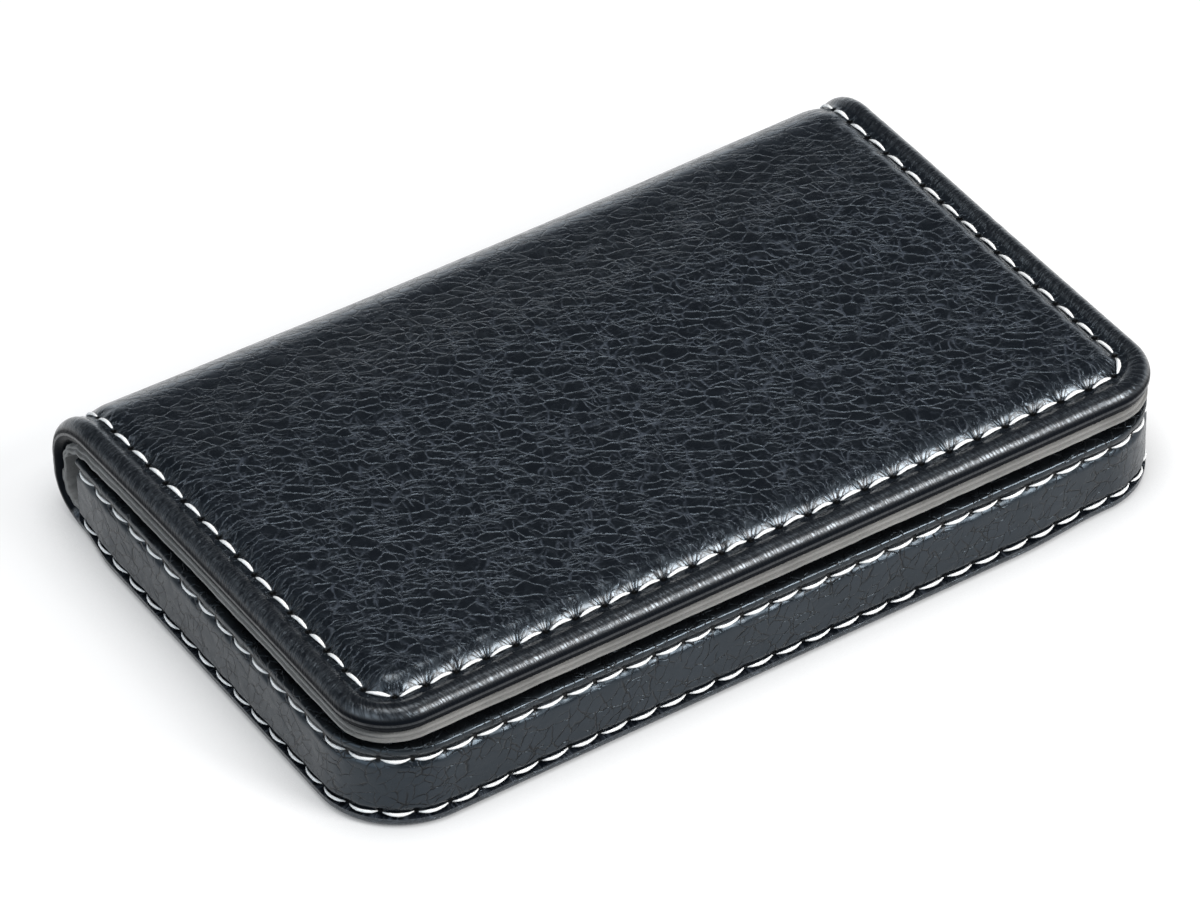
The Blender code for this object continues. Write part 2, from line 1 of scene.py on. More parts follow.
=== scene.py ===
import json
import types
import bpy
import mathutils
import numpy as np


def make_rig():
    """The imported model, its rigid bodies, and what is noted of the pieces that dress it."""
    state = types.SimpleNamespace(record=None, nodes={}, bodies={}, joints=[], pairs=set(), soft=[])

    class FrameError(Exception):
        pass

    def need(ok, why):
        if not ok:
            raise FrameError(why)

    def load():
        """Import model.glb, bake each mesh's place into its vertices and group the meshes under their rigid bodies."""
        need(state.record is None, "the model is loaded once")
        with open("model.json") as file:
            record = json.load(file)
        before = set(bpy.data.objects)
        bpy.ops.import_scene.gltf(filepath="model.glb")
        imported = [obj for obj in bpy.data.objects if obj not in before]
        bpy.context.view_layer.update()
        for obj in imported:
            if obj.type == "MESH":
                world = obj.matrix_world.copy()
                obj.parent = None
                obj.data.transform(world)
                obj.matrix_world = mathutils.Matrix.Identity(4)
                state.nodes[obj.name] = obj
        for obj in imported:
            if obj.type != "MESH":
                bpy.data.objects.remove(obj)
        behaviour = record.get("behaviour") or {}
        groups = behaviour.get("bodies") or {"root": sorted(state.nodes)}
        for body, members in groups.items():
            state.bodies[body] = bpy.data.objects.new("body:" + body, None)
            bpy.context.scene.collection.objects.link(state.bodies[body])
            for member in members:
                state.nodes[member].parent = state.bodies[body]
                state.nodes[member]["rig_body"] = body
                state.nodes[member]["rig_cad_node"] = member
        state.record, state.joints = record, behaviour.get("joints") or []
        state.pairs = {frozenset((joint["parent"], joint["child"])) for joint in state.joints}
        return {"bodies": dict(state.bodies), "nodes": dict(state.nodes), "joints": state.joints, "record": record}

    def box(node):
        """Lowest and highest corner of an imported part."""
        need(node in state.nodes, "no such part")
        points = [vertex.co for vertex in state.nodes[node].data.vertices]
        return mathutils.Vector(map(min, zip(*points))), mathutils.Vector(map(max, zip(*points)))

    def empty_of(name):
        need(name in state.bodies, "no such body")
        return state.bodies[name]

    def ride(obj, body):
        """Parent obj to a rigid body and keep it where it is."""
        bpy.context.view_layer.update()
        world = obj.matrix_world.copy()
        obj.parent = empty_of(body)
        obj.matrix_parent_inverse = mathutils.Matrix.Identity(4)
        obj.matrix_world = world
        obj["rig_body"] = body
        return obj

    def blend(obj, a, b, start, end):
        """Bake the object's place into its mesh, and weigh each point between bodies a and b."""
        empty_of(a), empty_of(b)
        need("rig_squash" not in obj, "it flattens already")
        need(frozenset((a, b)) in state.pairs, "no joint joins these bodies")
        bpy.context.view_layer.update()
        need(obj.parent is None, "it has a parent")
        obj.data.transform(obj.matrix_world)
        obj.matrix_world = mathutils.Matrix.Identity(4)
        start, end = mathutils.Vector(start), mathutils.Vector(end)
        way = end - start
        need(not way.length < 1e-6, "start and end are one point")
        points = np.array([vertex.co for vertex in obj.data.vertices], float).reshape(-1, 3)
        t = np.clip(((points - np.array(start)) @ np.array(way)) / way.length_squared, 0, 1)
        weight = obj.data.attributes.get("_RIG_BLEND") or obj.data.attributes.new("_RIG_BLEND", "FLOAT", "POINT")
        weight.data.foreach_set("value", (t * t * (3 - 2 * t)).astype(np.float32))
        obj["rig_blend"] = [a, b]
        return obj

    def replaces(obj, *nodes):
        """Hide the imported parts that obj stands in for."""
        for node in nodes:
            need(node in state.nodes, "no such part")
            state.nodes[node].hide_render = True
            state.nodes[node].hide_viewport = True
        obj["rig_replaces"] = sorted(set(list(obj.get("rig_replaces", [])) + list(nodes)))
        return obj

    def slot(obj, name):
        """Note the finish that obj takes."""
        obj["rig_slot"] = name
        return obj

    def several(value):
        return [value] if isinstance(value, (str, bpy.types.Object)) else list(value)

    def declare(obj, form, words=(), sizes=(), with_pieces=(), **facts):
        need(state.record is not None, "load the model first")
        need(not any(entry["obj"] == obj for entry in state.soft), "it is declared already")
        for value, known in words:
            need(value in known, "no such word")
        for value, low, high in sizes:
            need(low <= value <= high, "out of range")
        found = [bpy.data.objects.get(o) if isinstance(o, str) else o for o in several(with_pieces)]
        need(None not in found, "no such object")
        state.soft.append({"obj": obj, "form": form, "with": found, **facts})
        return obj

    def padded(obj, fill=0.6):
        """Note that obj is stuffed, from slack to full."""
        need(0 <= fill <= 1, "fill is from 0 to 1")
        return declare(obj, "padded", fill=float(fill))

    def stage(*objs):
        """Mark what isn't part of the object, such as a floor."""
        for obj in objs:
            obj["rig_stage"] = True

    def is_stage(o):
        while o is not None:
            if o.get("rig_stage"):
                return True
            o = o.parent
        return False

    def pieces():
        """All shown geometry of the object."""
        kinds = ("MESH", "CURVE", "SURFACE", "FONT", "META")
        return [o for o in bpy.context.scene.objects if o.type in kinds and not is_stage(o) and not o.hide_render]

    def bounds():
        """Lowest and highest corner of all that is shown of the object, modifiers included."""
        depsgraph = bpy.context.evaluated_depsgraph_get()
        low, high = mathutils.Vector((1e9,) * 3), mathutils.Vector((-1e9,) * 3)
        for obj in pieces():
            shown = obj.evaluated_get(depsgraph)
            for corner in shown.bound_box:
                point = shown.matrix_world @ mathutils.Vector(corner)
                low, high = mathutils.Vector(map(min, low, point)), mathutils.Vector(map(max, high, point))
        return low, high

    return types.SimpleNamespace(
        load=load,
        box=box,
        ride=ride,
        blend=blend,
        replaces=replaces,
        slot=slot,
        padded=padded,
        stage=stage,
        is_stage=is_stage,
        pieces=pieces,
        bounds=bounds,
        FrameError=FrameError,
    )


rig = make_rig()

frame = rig.load()

import json
import math

import bmesh
import bpy
import numpy as np
from mathutils import Matrix, Vector

cadBox = [list(corner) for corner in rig.bounds()]
print("packed model:", len(frame["nodes"]), "nodes")

# The flip-top card case in finished leather. Lengths are metres. X runs along the
# long side, the lid opens at -Y, the spine is at +Y.

stitchPitch = 0.0037     # from one needle hole to the next


# Shapes worked out as whole arrays

def ease(value):
    # nought below 0, one above 1, and 3v^2 - 2v^3 between
    value = np.clip(value, 0, 1)
    return value * value * (3 - 2 * value)


def softMax(a, b, blend):
    # the larger of two curves with the corner between them rounded off
    return (a + b + np.sqrt((a - b) ** 2 + blend ** 2)) / 2


def roughness2d(u, v, seed):
    # random heights from -1 to 1 on the whole numbers, eased between them
    count = 128
    table = np.random.default_rng(seed).uniform(-1, 1, (count, count))
    u, v = np.broadcast_arrays(np.asarray(u, float), np.asarray(v, float))
    i, j = np.floor(u).astype(int), np.floor(v).astype(int)
    a, b = ease(u - i), ease(v - j)
    near = table[i % count, j % count] * (1 - a) + table[(i + 1) % count, j % count] * a
    far = table[i % count, (j + 1) % count] * (1 - a) + table[(i + 1) % count, (j + 1) % count] * a
    return near * (1 - b) + far * b


def creaseLines(u, v, seed, sharpness):
    # one along the lines where the random heights pass nought, falling off beside them
    return (1 - np.abs(roughness2d(u, v, seed))) ** sharpness


def pathLength(line):
    # the way gone along a line of points, at each of them
    return np.concatenate([[0], np.cumsum(np.linalg.norm(np.diff(line, axis=0), axis=1))])


def gridFaces(rows, columns, start):
    # a quad between each four neighbouring points of a grid
    index = start + np.arange(rows * columns).reshape(rows, columns)
    corners = index[:-1, :-1], index[:-1, 1:], index[1:, 1:], index[1:, :-1]
    return np.stack(corners, -1).reshape(-1, 4).tolist()


def tubeFaces(rows, columns):
    # the same for rows that are closed rings, with the first and the last one filled
    index = np.arange(rows * columns).reshape(rows, columns)
    closing = np.stack([index[:-1, -1], index[:-1, 0], index[1:, 0], index[1:, -1]], -1).tolist()
    return gridFaces(rows, columns, 0) + closing + [index[0].tolist(), index[-1].tolist()]


def stepFaces(fine, coarse):
    # joins a row of points to one with a quarter as many: five triangles a step
    f = [fine[k:len(fine) - 4 + k:4] for k in range(4)] + [fine[4::4]]
    c, d = coarse[:-1], coarse[1:]
    fans = (f[0], f[1], c), (f[1], f[2], c), (f[2], d, c), (f[2], f[3], d), (f[3], f[4], d)
    return np.concatenate([np.stack(fan, -1) for fan in fans]).tolist()


def makePiece(name, points, faces, material, slotName, maps=None, sharp=50):
    # points is one long list of places, and maps holds a UV place for each of them
    mesh = bpy.data.meshes.new(name)
    mesh.from_pydata(points.reshape(-1, 3).tolist(), [], faces)
    corners = np.empty(len(mesh.loops), np.int32)
    mesh.loops.foreach_get("vertex_index", corners)
    for mapName, places in (maps or {}).items():
        layer = mesh.uv_layers.new(name=mapName)
        flat = places.reshape(-1, 2)[corners].astype(np.float32)
        layer.data.foreach_set("uv", flat.ravel())
    bm = bmesh.new()
    bm.from_mesh(mesh)
    bmesh.ops.remove_doubles(bm, verts=bm.verts, dist=2e-7)
    bmesh.ops.recalc_face_normals(bm, faces=bm.faces)
    bm.to_mesh(mesh)
    bm.free()
    mesh.shade_smooth()
    mesh.set_sharp_from_angle(angle=math.radians(sharp))
    piece = bpy.data.objects.new(name, mesh)
    bpy.context.scene.collection.objects.link(piece)
    mesh.materials.append(material)
    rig.slot(piece, slotName)
    return piece


# Materials: node graphs written as formulas

class Field:
    # One value of a node graph. Arithmetic with it adds the nodes that work it out.
    def __init__(self, socket):
        self.socket, self.tree = socket, socket.id_data

    def __add__(self, other):
        return maths("ADD", self, other)

    def __sub__(self, other):
        return maths("SUBTRACT", self, other)

    def __rsub__(self, other):
        return maths("SUBTRACT", other, self)

    def __mul__(self, other):
        return maths("MULTIPLY", self, other)


def connect(socket, value):
    # links a value of the graph to the socket, or sets a plain number or colour on it
    if isinstance(value, Field):
        value.tree.links.new(value.socket, socket)
    else:
        socket.default_value = (*value, 1) if socket.type == "RGBA" else value


def addNode(tree, kind, settings=None, **inputs):
    node = tree.nodes.new("ShaderNode" + kind)
    for key, value in (settings or {}).items():
        setattr(node, key, value)
    for key, value in inputs.items():
        connect(node.inputs[int(key[1:]) if key in ("i0", "i1") else key], value)
    return node


def field(tree, kind, settings=None, output=0, **inputs):
    return Field(addNode(tree, kind, settings, **inputs).outputs[output])


def maths(operation, a, b=0.0):
    tree = a.tree if isinstance(a, Field) else b.tree
    return field(tree, "Math", {"operation": operation}, i0=a, i1=b)


def vectorMaths(operation, a, **others):
    return field(a.tree, "VectorMath", {"operation": operation}, i0=a, **others)


def largest(first, *others):
    for value in others:
        first = maths("MAXIMUM", first, value)
    return first


def away(a, b):
    # how far a point is that lies a and b away, square to each other
    return maths("SQRT", a * a + b * b)


def remap(value, low, high, start=0.0, end=1.0, kind="SMOOTHSTEP"):
    # from start to end while the value goes from low to high, and level beyond
    node = addNode(value.tree, "MapRange", {"interpolation_type": kind}, Value=value)
    for key, number in zip(("From Min", "From Max", "To Min", "To Max"), (low, high, start, end)):
        node.inputs[key].default_value = number
    return Field(node.outputs[0])


def blendValue(share, a, b):
    return share * (b - a) + a


def blendColor(share, a, b):
    node = addNode(share.tree, "Mix", {"data_type": "RGBA"}, Factor=share)
    for key, value in (("A", a), ("B", b)):
        connect([item for item in node.inputs if item.name == key and item.type == "RGBA"][0], value)
    return Field([item for item in node.outputs if item.type == "RGBA"][0])


def startMaterial(name, metallic=0.0):
    material = bpy.data.materials.new(name)
    material.use_nodes = True
    shader = material.node_tree.nodes["Principled BSDF"]
    shader.inputs["Metallic"].default_value = metallic
    return material, material.node_tree, shader


def feed(shader, values):
    for key, value in values.items():
        connect(shader.inputs[key], value)


def addBump(shader, height, depth):
    connect(shader.inputs["Normal"], field(shader.id_data, "Bump", Height=height, Distance=depth))


def mapPlace(tree, name):
    return field(tree, "UVMap", {"uv_map": name})


def axes(vector):
    return [Field(item) for item in addNode(vector.tree, "SeparateXYZ", Vector=vector).outputs]


def pair(a, b):
    return field(a.tree, "CombineXYZ", X=a, Y=b)


def noise(vector, scale, detail=2.0, dimensions="2D"):
    return field(vector.tree, "TexNoise", {"noise_dimensions": dimensions}, "Fac",
                 Vector=vector, Scale=scale, Detail=detail)


def cellLines(vector, width):
    # random cells: a sharp line between them, nought on it and one at width beside it,
    # and a soft dome over each cell
    gap = field(vector.tree, "TexVoronoi", {"voronoi_dimensions": "2D", "feature": "DISTANCE_TO_EDGE"},
                "Distance", Vector=vector, Scale=1.0)
    return remap(gap, 0.0, width, kind="LINEAR"), remap(gap, 0.0, 0.42)


def turnedCells(vector, angle, length, width, line):
    # the same, with cells stretched along an angle in degrees; sizes as on the map
    place = field(vector.tree, "Mapping", {"vector_type": "TEXTURE"}, Vector=vector,
                  Rotation=(0, 0, math.radians(angle)), Scale=(length, width, 1))
    return cellLines(place, line)


def bendPlace(vector, amount, scale):
    # moves each place by a slow noise, so that no line stays straight
    wobble = field(vector.tree, "TexNoise", {"noise_dimensions": "2D"}, "Color",
                   Vector=vector, Scale=scale, Detail=3.0)
    shift = vectorMaths("SCALE", vectorMaths("SUBTRACT", wobble, i1=(0.5, 0.5, 0.5)), Scale=amount)
    return vectorMaths("ADD", vector, i1=shift)


def patchy(lines, place, scale, low, high):
    # lines in some patches of the sheet, and one in the others
    return blendValue(remap(noise(place, scale), low, high), 1.0, lines)


leatherLook = {
    "plateau": (0.0024, 0.0034, 0.0053),   # between the creases
    "paleTone": (0.042, 0.049, 0.061),         # paler along the creases: partly wear, partly painted highlight on the crease edges
    "seamWearAndGlint": (0.085, 0.095, 0.110),        # along the creases drawn in by the seam: partly wear, partly painted highlight
    "hole": (0.0015, 0.0015, 0.0015),      # painted shade: down the needle holes, in the folds at them and in the creases over the fold
    "foldSheen": (0.012, 0.015, 0.021),        # painted sheen on the plateau where the sheet is pulled over the fold
    "tint": (0.72, 0.87, 1.0),             # of the gloss
    "deep": (0.10, 0.10, 0.10),            # and of the gloss where painted shade lies: holes, folds and creases
    "roughness": (0.20, 0.33),
    "coat": 0.36, "coatRoughness": 0.19,
    "rollCoat": 1.00, "rollRoughness": 0.36,   # on the rolled edge
    "grainTurn": -32.0,                    # degrees, the way the cells lie on the lid
    "largeCell": (0.250, 0.150), "largeLine": 0.075,   # cm, and the line's share of a cell
    "smallCell": (0.105, 0.070), "smallLine": 0.12,
    "foldCell": (0.55, 0.17), "foldTurn": 84.0,
    "seamCell": (3.6, 0.95), "seamLine": 0.07,         # mm, along and across the seam
    "depth": 0.00010,
    "bend": (0.14, 4.0),                   # how far the lines wander, and how often
    "smallPatch": (2.6, 0.36, 0.62),       # patches per cm, and the noise they show between
    "foldPatch": (1.9, 0.40, 0.60),
    # From here on, two places and the share at each. By cm from the front edge:
    "rear": (5.7, 6.3, 0.0, 1.0),          # the painted sheen over the fold
    "paleToneTo": (3.6, 5.9, 1.0, 0.4),       # the paler crease lines, partly painted highlight, fading toward the fold
    "stretch": (4.0, 6.3, 1.0, 0.60),      # the grain's depth
    # by mm in from the stitch row:
    "seam": (0.4, 5.0, 0.90, 0.0),         # creases drawn in by the seam
    "behind": (-0.1, 0.3, 0.0, 1.0),       # the side of the row that has them
    "roll": (-1.3, -0.8, 1.0, 0.0),        # the rolled edge's own creases
    "rollDepth": (-4.9, -4.0, 0.1, 1.0),   # and their depth
    "under": (-4.0, -3.3, 0.95, 0.0),      # the roll's lower side, where painted shade takes its gloss away
    "lowLine": (0.10, 0.22, 0.5, 1.0), "lowPlace": 4.45,   # and a thin line along it where that painted shade is lifted
    # and by mm from a needle hole:
    "fan": (0.9, 2.3, 0.9, 0.0),           # creases that fan out from it
    "holeEdge": (0.25, 0.50),
}


def leatherMaterial(name, look):
    # Grain on the sheet's own map, in cm: large and small stretched cells and long folds,
    # with wobbling lines between them. Beside the seam, on the map of mm from the row,
    # creases fan out from each needle hole, and fine ones cross the rolled edge.
    material, tree, shader = startMaterial(name)
    sheet = mapPlace(tree, "sheet")
    fromFront = axes(sheet)[1]
    phase, inward = axes(mapPlace(tree, "row"))[:2]
    bent = bendPlace(sheet, *look["bend"])
    large, dome = turnedCells(bent, look["grainTurn"], *look["largeCell"], look["largeLine"])
    small, bead = turnedCells(bent, look["grainTurn"] + 12, *look["smallCell"], look["smallLine"])
    fold = turnedCells(bent, look["foldTurn"], *look["foldCell"], look["largeLine"])[0]
    smallSoft = patchy(small, sheet, *look["smallPatch"])
    lines = large * patchy(fold, sheet, *look["foldPatch"])
    cells = lines * 0.44 + smallSoft * 0.22 + (dome * 0.24 + bead * 0.10)

    along = phase * (stitchPitch * 1000)
    seamPlace = bendPlace(pair(along, inward), 1.1, 0.9)
    stretched, ridge = turnedCells(seamPlace, 90.0, *look["seamCell"], look["seamLine"])
    nearSeam = remap(inward, *look["seam"])
    height = blendValue(nearSeam, cells, stretched * 0.55 + ridge * 0.18)

    cell = maths("ROUND", phase)
    holeAway = (phase - cell) * (stitchPitch * 1000)
    reach = inward + 0.35
    far = away(holeAway, reach)
    spread = maths("ARCTAN2", holeAway, reach)
    ray, rayDome = cellLines(pair(spread * 3.1 + cell * 7.31, far * 0.30), 0.13)
    inside = remap(inward, *look["behind"])
    fanned = remap(far, *look["fan"]) * inside
    height = blendValue(fanned, height, ray * 0.75 + rayDome * 0.15)

    crossing = bendPlace(pair(along * 2.8 + inward * 0.8, inward * 0.36), 0.9, 1.3)
    rollLine, rollDome = cellLines(crossing, 0.3)
    rolled = remap(inward, *look["roll"])
    rollHeight = (rollLine * 0.24 + rollDome * 0.12) * remap(inward, *look["rollDepth"])
    height = blendValue(rolled, height, rollHeight)

    hole = remap(away(holeAway, inward), *look["holeEdge"])
    # Paler crease lines: partly wear, partly painted highlight where the crease edges would catch the light, broken
    # into patches.
    grain = 1.0 - maths("MINIMUM", lines, smallSoft)
    patchiness = remap(noise(sheet, 8.0, 3.0), 0.38, 0.66, 0.15, 1.0)
    plain = 1.0 - largest(nearSeam, rolled)
    relief = remap(fromFront, *look["stretch"])
    # Painted sheen over the fold toward the spine, in place of the plateau colour.
    rear = remap(fromFront, *look["rear"]) * plain
    paleTone = grain * patchiness * plain * relief * (1.0 - rear) * remap(fromFront, *look["paleToneTo"])
    # Painted shade down the crease lines over the fold.
    sunk = grain * rear * 0.9
    # Painted shade in the creases that fan out from each needle hole.
    dark = (1.0 - ray) * fanned
    color = blendColor(rear, look["plateau"], look["foldSheen"])
    color = blendColor(paleTone, color, look["paleTone"])
    # Paler along the seam's creases: partly wear, partly painted highlight.
    color = blendColor((1.0 - stretched) * nearSeam * inside * patchiness, color, look["seamWearAndGlint"])
    color = blendColor(sunk, color, look["hole"])
    color = blendColor(dark, color, look["hole"])

    # Painted shade on the roll's lower side: its specular level falls to nought there, except along one thin line.
    lowLine = remap(maths("ABSOLUTE", inward + look["lowPlace"]), *look["lowLine"])
    under = remap(inward, *look["under"]) * lowLine
    # Painted shade on the gloss: a deep tint and no coat in the fanned creases, the roll's creases, the needle holes,
    # the roll's lower side and the creases over the fold.
    glossShade = largest(dark, (1.0 - rollLine) * rolled * 0.7, 1.0 - hole, under, sunk)
    # Painted shade darkens each needle hole.
    feed(shader, {
        "Base Color": blendColor(hole, look["hole"], color),
        "Roughness": remap(noise(sheet, 7.0, 4.0), 0.3, 0.7, *look["roughness"]),
        "Specular IOR Level": blendValue(under, 0.5, 0.0),
        "Specular Tint": blendColor(glossShade, look["tint"], look["deep"]),
        "Coat Weight": blendValue(glossShade, blendValue(rolled, look["coat"], look["rollCoat"]), 0.0),
        "Coat Roughness": blendValue(rolled, look["coatRoughness"], look["rollRoughness"]),
    })
    pores = noise(sheet, 60.0, 3.0)
    addBump(shader, (height + pores * 0.06) * hole * relief, look["depth"])
    return material


bandLook = {
    "plateau": (0.0022, 0.0031, 0.0048),
    "paleTone": (0.0066, 0.0085, 0.0117),
    # painted shade in the needle holes, along the creases and on the rim's top
    "hole": (0.0015, 0.0015, 0.0015),
    "tint": (0.62, 0.77, 0.90),
    # tint of the gloss where painted shade lies in the creases and needle holes
    "deep": (0.12, 0.12, 0.12),
    "roughness": (0.24, 0.36),
    "coat": 0.10, "coatRoughness": 0.14,
    "longTurn": 52.0, "longCell": (0.23, 0.12), "longLine": 0.06,       # degrees from the table, cm
    "shortTurn": -18.0, "shortCell": (0.36, 0.19), "shortLine": 0.05,
    "bend": (0.10, 5.0), "longPatch": (3.2, 0.36, 0.54), "shortPatch": (2.3, 0.42, 0.60),
    "rim": (0.90, 0.97),           # cm up from the foot, where the painted shade on the rim's top begins
    "holeEdge": (0.25, 0.55),      # mm from a needle hole
    "depth": 0.00006,
}


def bandMaterial(name, look):
    # Smooth stretched leather on the wall's own map, in cm: thin creases that lean one way over faint cells, and
    # needle holes. The creases, the needle holes and the rim's top under the lid are darkened with painted shade in
    # colour, and the creases and holes in the gloss too.
    material, tree, shader = startMaterial(name)
    sheet = mapPlace(tree, "sheet")
    phase, fromRow = axes(mapPlace(tree, "row"))[:2]
    bent = bendPlace(sheet, *look["bend"])
    long = turnedCells(bent, look["longTurn"], *look["longCell"], look["longLine"])[0]
    short, dome = turnedCells(bent, look["shortTurn"], *look["shortCell"], look["shortLine"])
    creased = patchy(long, sheet, *look["longPatch"]) * patchy(short, sheet, *look["shortPatch"])
    lines = 1.0 - creased
    cloudy = remap(noise(sheet, 1.6, 3.0), 0.35, 0.70, 0.0, 0.5)
    # The rim's top, where painted shade stands for the lid's overhang.
    rim = remap(axes(sheet)[1], *look["rim"])
    color = blendColor(cloudy, look["plateau"], look["paleTone"])
    # Painted shade along the creases and on the rim's top.
    color = blendColor(largest(lines * 0.9, rim * 0.8), color, look["hole"])
    holeAway = (phase - maths("ROUND", phase)) * (stitchPitch * 1000)
    hole = remap(away(holeAway, fromRow), *look["holeEdge"])
    # Painted shade: the needle holes darkened, and the gloss tinted deep in the creases and holes.
    feed(shader, {
        "Base Color": blendColor(hole, look["hole"], color),
        "Roughness": remap(noise(sheet, 6.0, 4.0), 0.3, 0.7, *look["roughness"]),
        "Specular Tint": blendColor(largest(lines * 0.85, 1.0 - hole), look["tint"], look["deep"]),
        "Coat Weight": look["coat"],
        "Coat Roughness": look["coatRoughness"],
    })
    pores = noise(sheet, 70.0, 3.0)
    addBump(shader, (creased + dome * 0.35 + pores * 0.12) * hole, look["depth"])
    return material


suedeLook = {
    "dark": (0.11, 0.108, 0.102),
    "light": (0.24, 0.233, 0.221),
    "fibre": 900.0, "nap": 120.0,      # per metre
    "depth": 0.00006,
}


def suedeMaterial(name, look):
    # Brushed nap: fine fibres over slow patches where the nap lies another way.
    material, tree, shader = startMaterial(name)
    place = field(tree, "TexCoord", output="Object")
    fibres = noise(place, look["fibre"] * 4, 4.0, "3D")
    lumps = noise(place, look["fibre"], 3.0, "3D")
    nap = remap(noise(place, look["nap"], 3.0, "3D"), 0.3, 0.7)
    feed(shader, {
        "Base Color": blendColor(nap * 0.45 + fibres * 0.55, look["dark"], look["light"]),
        "Roughness": 0.95, "Sheen Weight": 0.25, "Sheen Roughness": 0.5,
    })
    addBump(shader, fibres + lumps, look["depth"])
    return material


threadLook = {
    "shade": (0.62, 0.62, 0.61),
    "white": (0.86, 0.86, 0.85),
    "fibres": 2.6,
    "depth": 0.00002,
}


def threadMaterial(name, look):
    # Twisted yarn: fine fibres run along the twist of the thread's own map.
    material, tree, shader = startMaterial(name)
    fibres = field(tree, "TexWave", {"bands_direction": "DIAGONAL"}, "Fac",
                   Vector=mapPlace(tree, "thread"), Scale=look["fibres"], Distortion=1.5)
    color = blendColor(remap(fibres, 0.05, 0.45), look["shade"], look["white"])
    feed(shader, {"Base Color": color, "Roughness": 0.65})
    addBump(shader, fibres, look["depth"])
    return material


def plainMaterial(name, dark, light, rough, scale, depth, metallic=0.0, shine=0.5):
    # Fine random mottling in colour, gloss and height, for boards, plastic and plated steel.
    material, tree, shader = startMaterial(name, metallic)
    mottle = noise(field(tree, "TexCoord", output="Object"), scale, 4.0, "3D")
    feed(shader, {
        "Base Color": blendColor(mottle, dark, light),
        "Roughness": remap(mottle, 0.2, 0.8, rough, rough + 0.12),
        "Specular IOR Level": shine,
    })
    addBump(shader, mottle, depth)
    return material


coverLeather = leatherMaterial("grained_leather", leatherLook)
bandLeather = bandMaterial("stretched_leather", bandLook)
suede = suedeMaterial("grey_suede", suedeLook)
whiteThread = threadMaterial("white_thread", threadLook)
blackThread = threadMaterial("black_thread", dict(threadLook, shade=(0.006,) * 3, white=(0.03,) * 3))
smoothLeather = plainMaterial("smooth_black", (0.008, 0.008, 0.009), (0.016, 0.016, 0.018),
                              0.66, 2500, 0.00002, shine=0.15)
# name, dark and light colour, roughness, mottles per metre, their depth, metallic
finishLooks = {
    "board_grey": ("fibre_board", (0.20, 0.18, 0.16), (0.32, 0.30, 0.26), 0.85, 1800, 0.00003),
    "frame_plastic": ("frame_plastic", (0.012,) * 3, (0.03,) * 3, 0.5, 900, 0.00001),
    "steel": ("strike_steel", (0.42, 0.42, 0.43), (0.62, 0.62, 0.63), 0.28, 1500, 0.00001, 1.0),
    "magnet": ("magnet_plating", (0.38, 0.38, 0.40), (0.55, 0.55, 0.57), 0.22, 1500, 0.00001, 1.0),
}
hiddenFinishes = {key: plainMaterial(*look) for key, look in finishLooks.items()}
print("materials ready")


# The cover: padded lid, soft spine and the leather under the tray

cover = {
    "outset": 0.0007,          # beyond the lid of the frame, at the sides and in front
    "corner": 0.0070,
    "roll": 0.0032,
    "rollLoss": 0.0010,        # how much lower the roll is down the spine
    "rollWidth": 0.0030,
    "rollBack": (0.0037, 0.00225),   # where the turned-in leather ends: inset and depth
    "rollTurn": 100.0,         # degrees, where the roll hands over to the top
    "rollSteps": 14,
    # mm in from the edge: first, last and step of the rings inside the roll
    "rings": ((1.94, 3.12, 0.16), (3.16, 4.30, 0.11), (4.38, 6.55, 0.20)),
    "lastRings": (7.1, 0.4, 0.9),    # first, what is left before the corner's centre, and step
    "leather": 0.0006,
    "bendDraw": 0.0008,        # how much nearer together a fold's bend starts and ends
    "upperFold": 0.0080,
    "lowerFold": 0.0050,
    "widenFrom": 0.034,        # before the fold
    "crown": 0.0009,
    "puffStart": 0.0037,
    "puffEdge": 0.0022,
    "edgeShare": 0.80,         # of the crown, gained close to the seam
    "puffWidth": 0.012,
    "fade": (0.016, 0.022),    # where the crown begins to fall before the fold, and over what length
    "rowInset": 0.0035,
    "rowDepth": 0.0005,
    "rowRise": 0.0022,         # width of the slope from the row up to the padding
    "holeSize": 0.00035,
    "holeDepth": 0.00022,
    "holePull": 0.00028,       # how far a hole draws the slope inward
    "fanDepth": 0.00008,       # creases that fan out from a hole
    "fanStart": 0.0004,
    "fanLength": 0.0025,
    "fanEnd": (0.0045, 0.0022),      # inset where they fade out, and over what width
    "rollCrease": 0.00004,
    "drapeDepth": 0.00007,
    "drapeSize": (0.013, 0.010),     # of a swell, across the sheet and along it
    "foldCrease": 0.00006,
    "foldCreaseSize": (0.016, 0.0011),
    "foldCreaseFrom": (0.002, 0.003),    # before the fold, and over what length
    "ridgeDrop": 0.0003,
    "ridgeSag": 0.0006,        # in the middle, beyond that
    "lip": 0.00115,            # height and rounding of the plain edge under the tray
    "lipRound": 0.00075,
    "softJoin": 0.00012,       # where the roll runs into the channel
    "drapeFrom": (0.0037, 0.0030),   # inset where the sheet begins to swell, and over what width
}
lidLow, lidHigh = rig.box("lid_leather")
baseLow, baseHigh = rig.box("base_leather")
bandLow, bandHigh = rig.box("tray_band")
lidHalf, lidFront = lidHigh.x + cover["outset"], lidLow.y - cover["outset"]
trayHalf = baseHigh.x
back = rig.box("spine_leather")[1].y
coverTop = lidHigh.z - cover["crown"]
flatTop = back - cover["upperFold"] - lidFront
topArc = cover["upperFold"] * math.pi / 2
spineFlat = coverTop - cover["upperFold"] - cover["lowerFold"]
lowArc = cover["lowerFold"] * math.pi / 2
flatBase = back - cover["lowerFold"] - baseLow.y
coverRun = flatTop + topArc + spineFlat + lowArc + flatBase
seamRun = flatTop + topArc + spineFlat / 2


def toFold(run):
    # nought on the lid and one from the middle of the fold on
    start, length = cover["fade"]
    return ease((run - flatTop + start) / length)


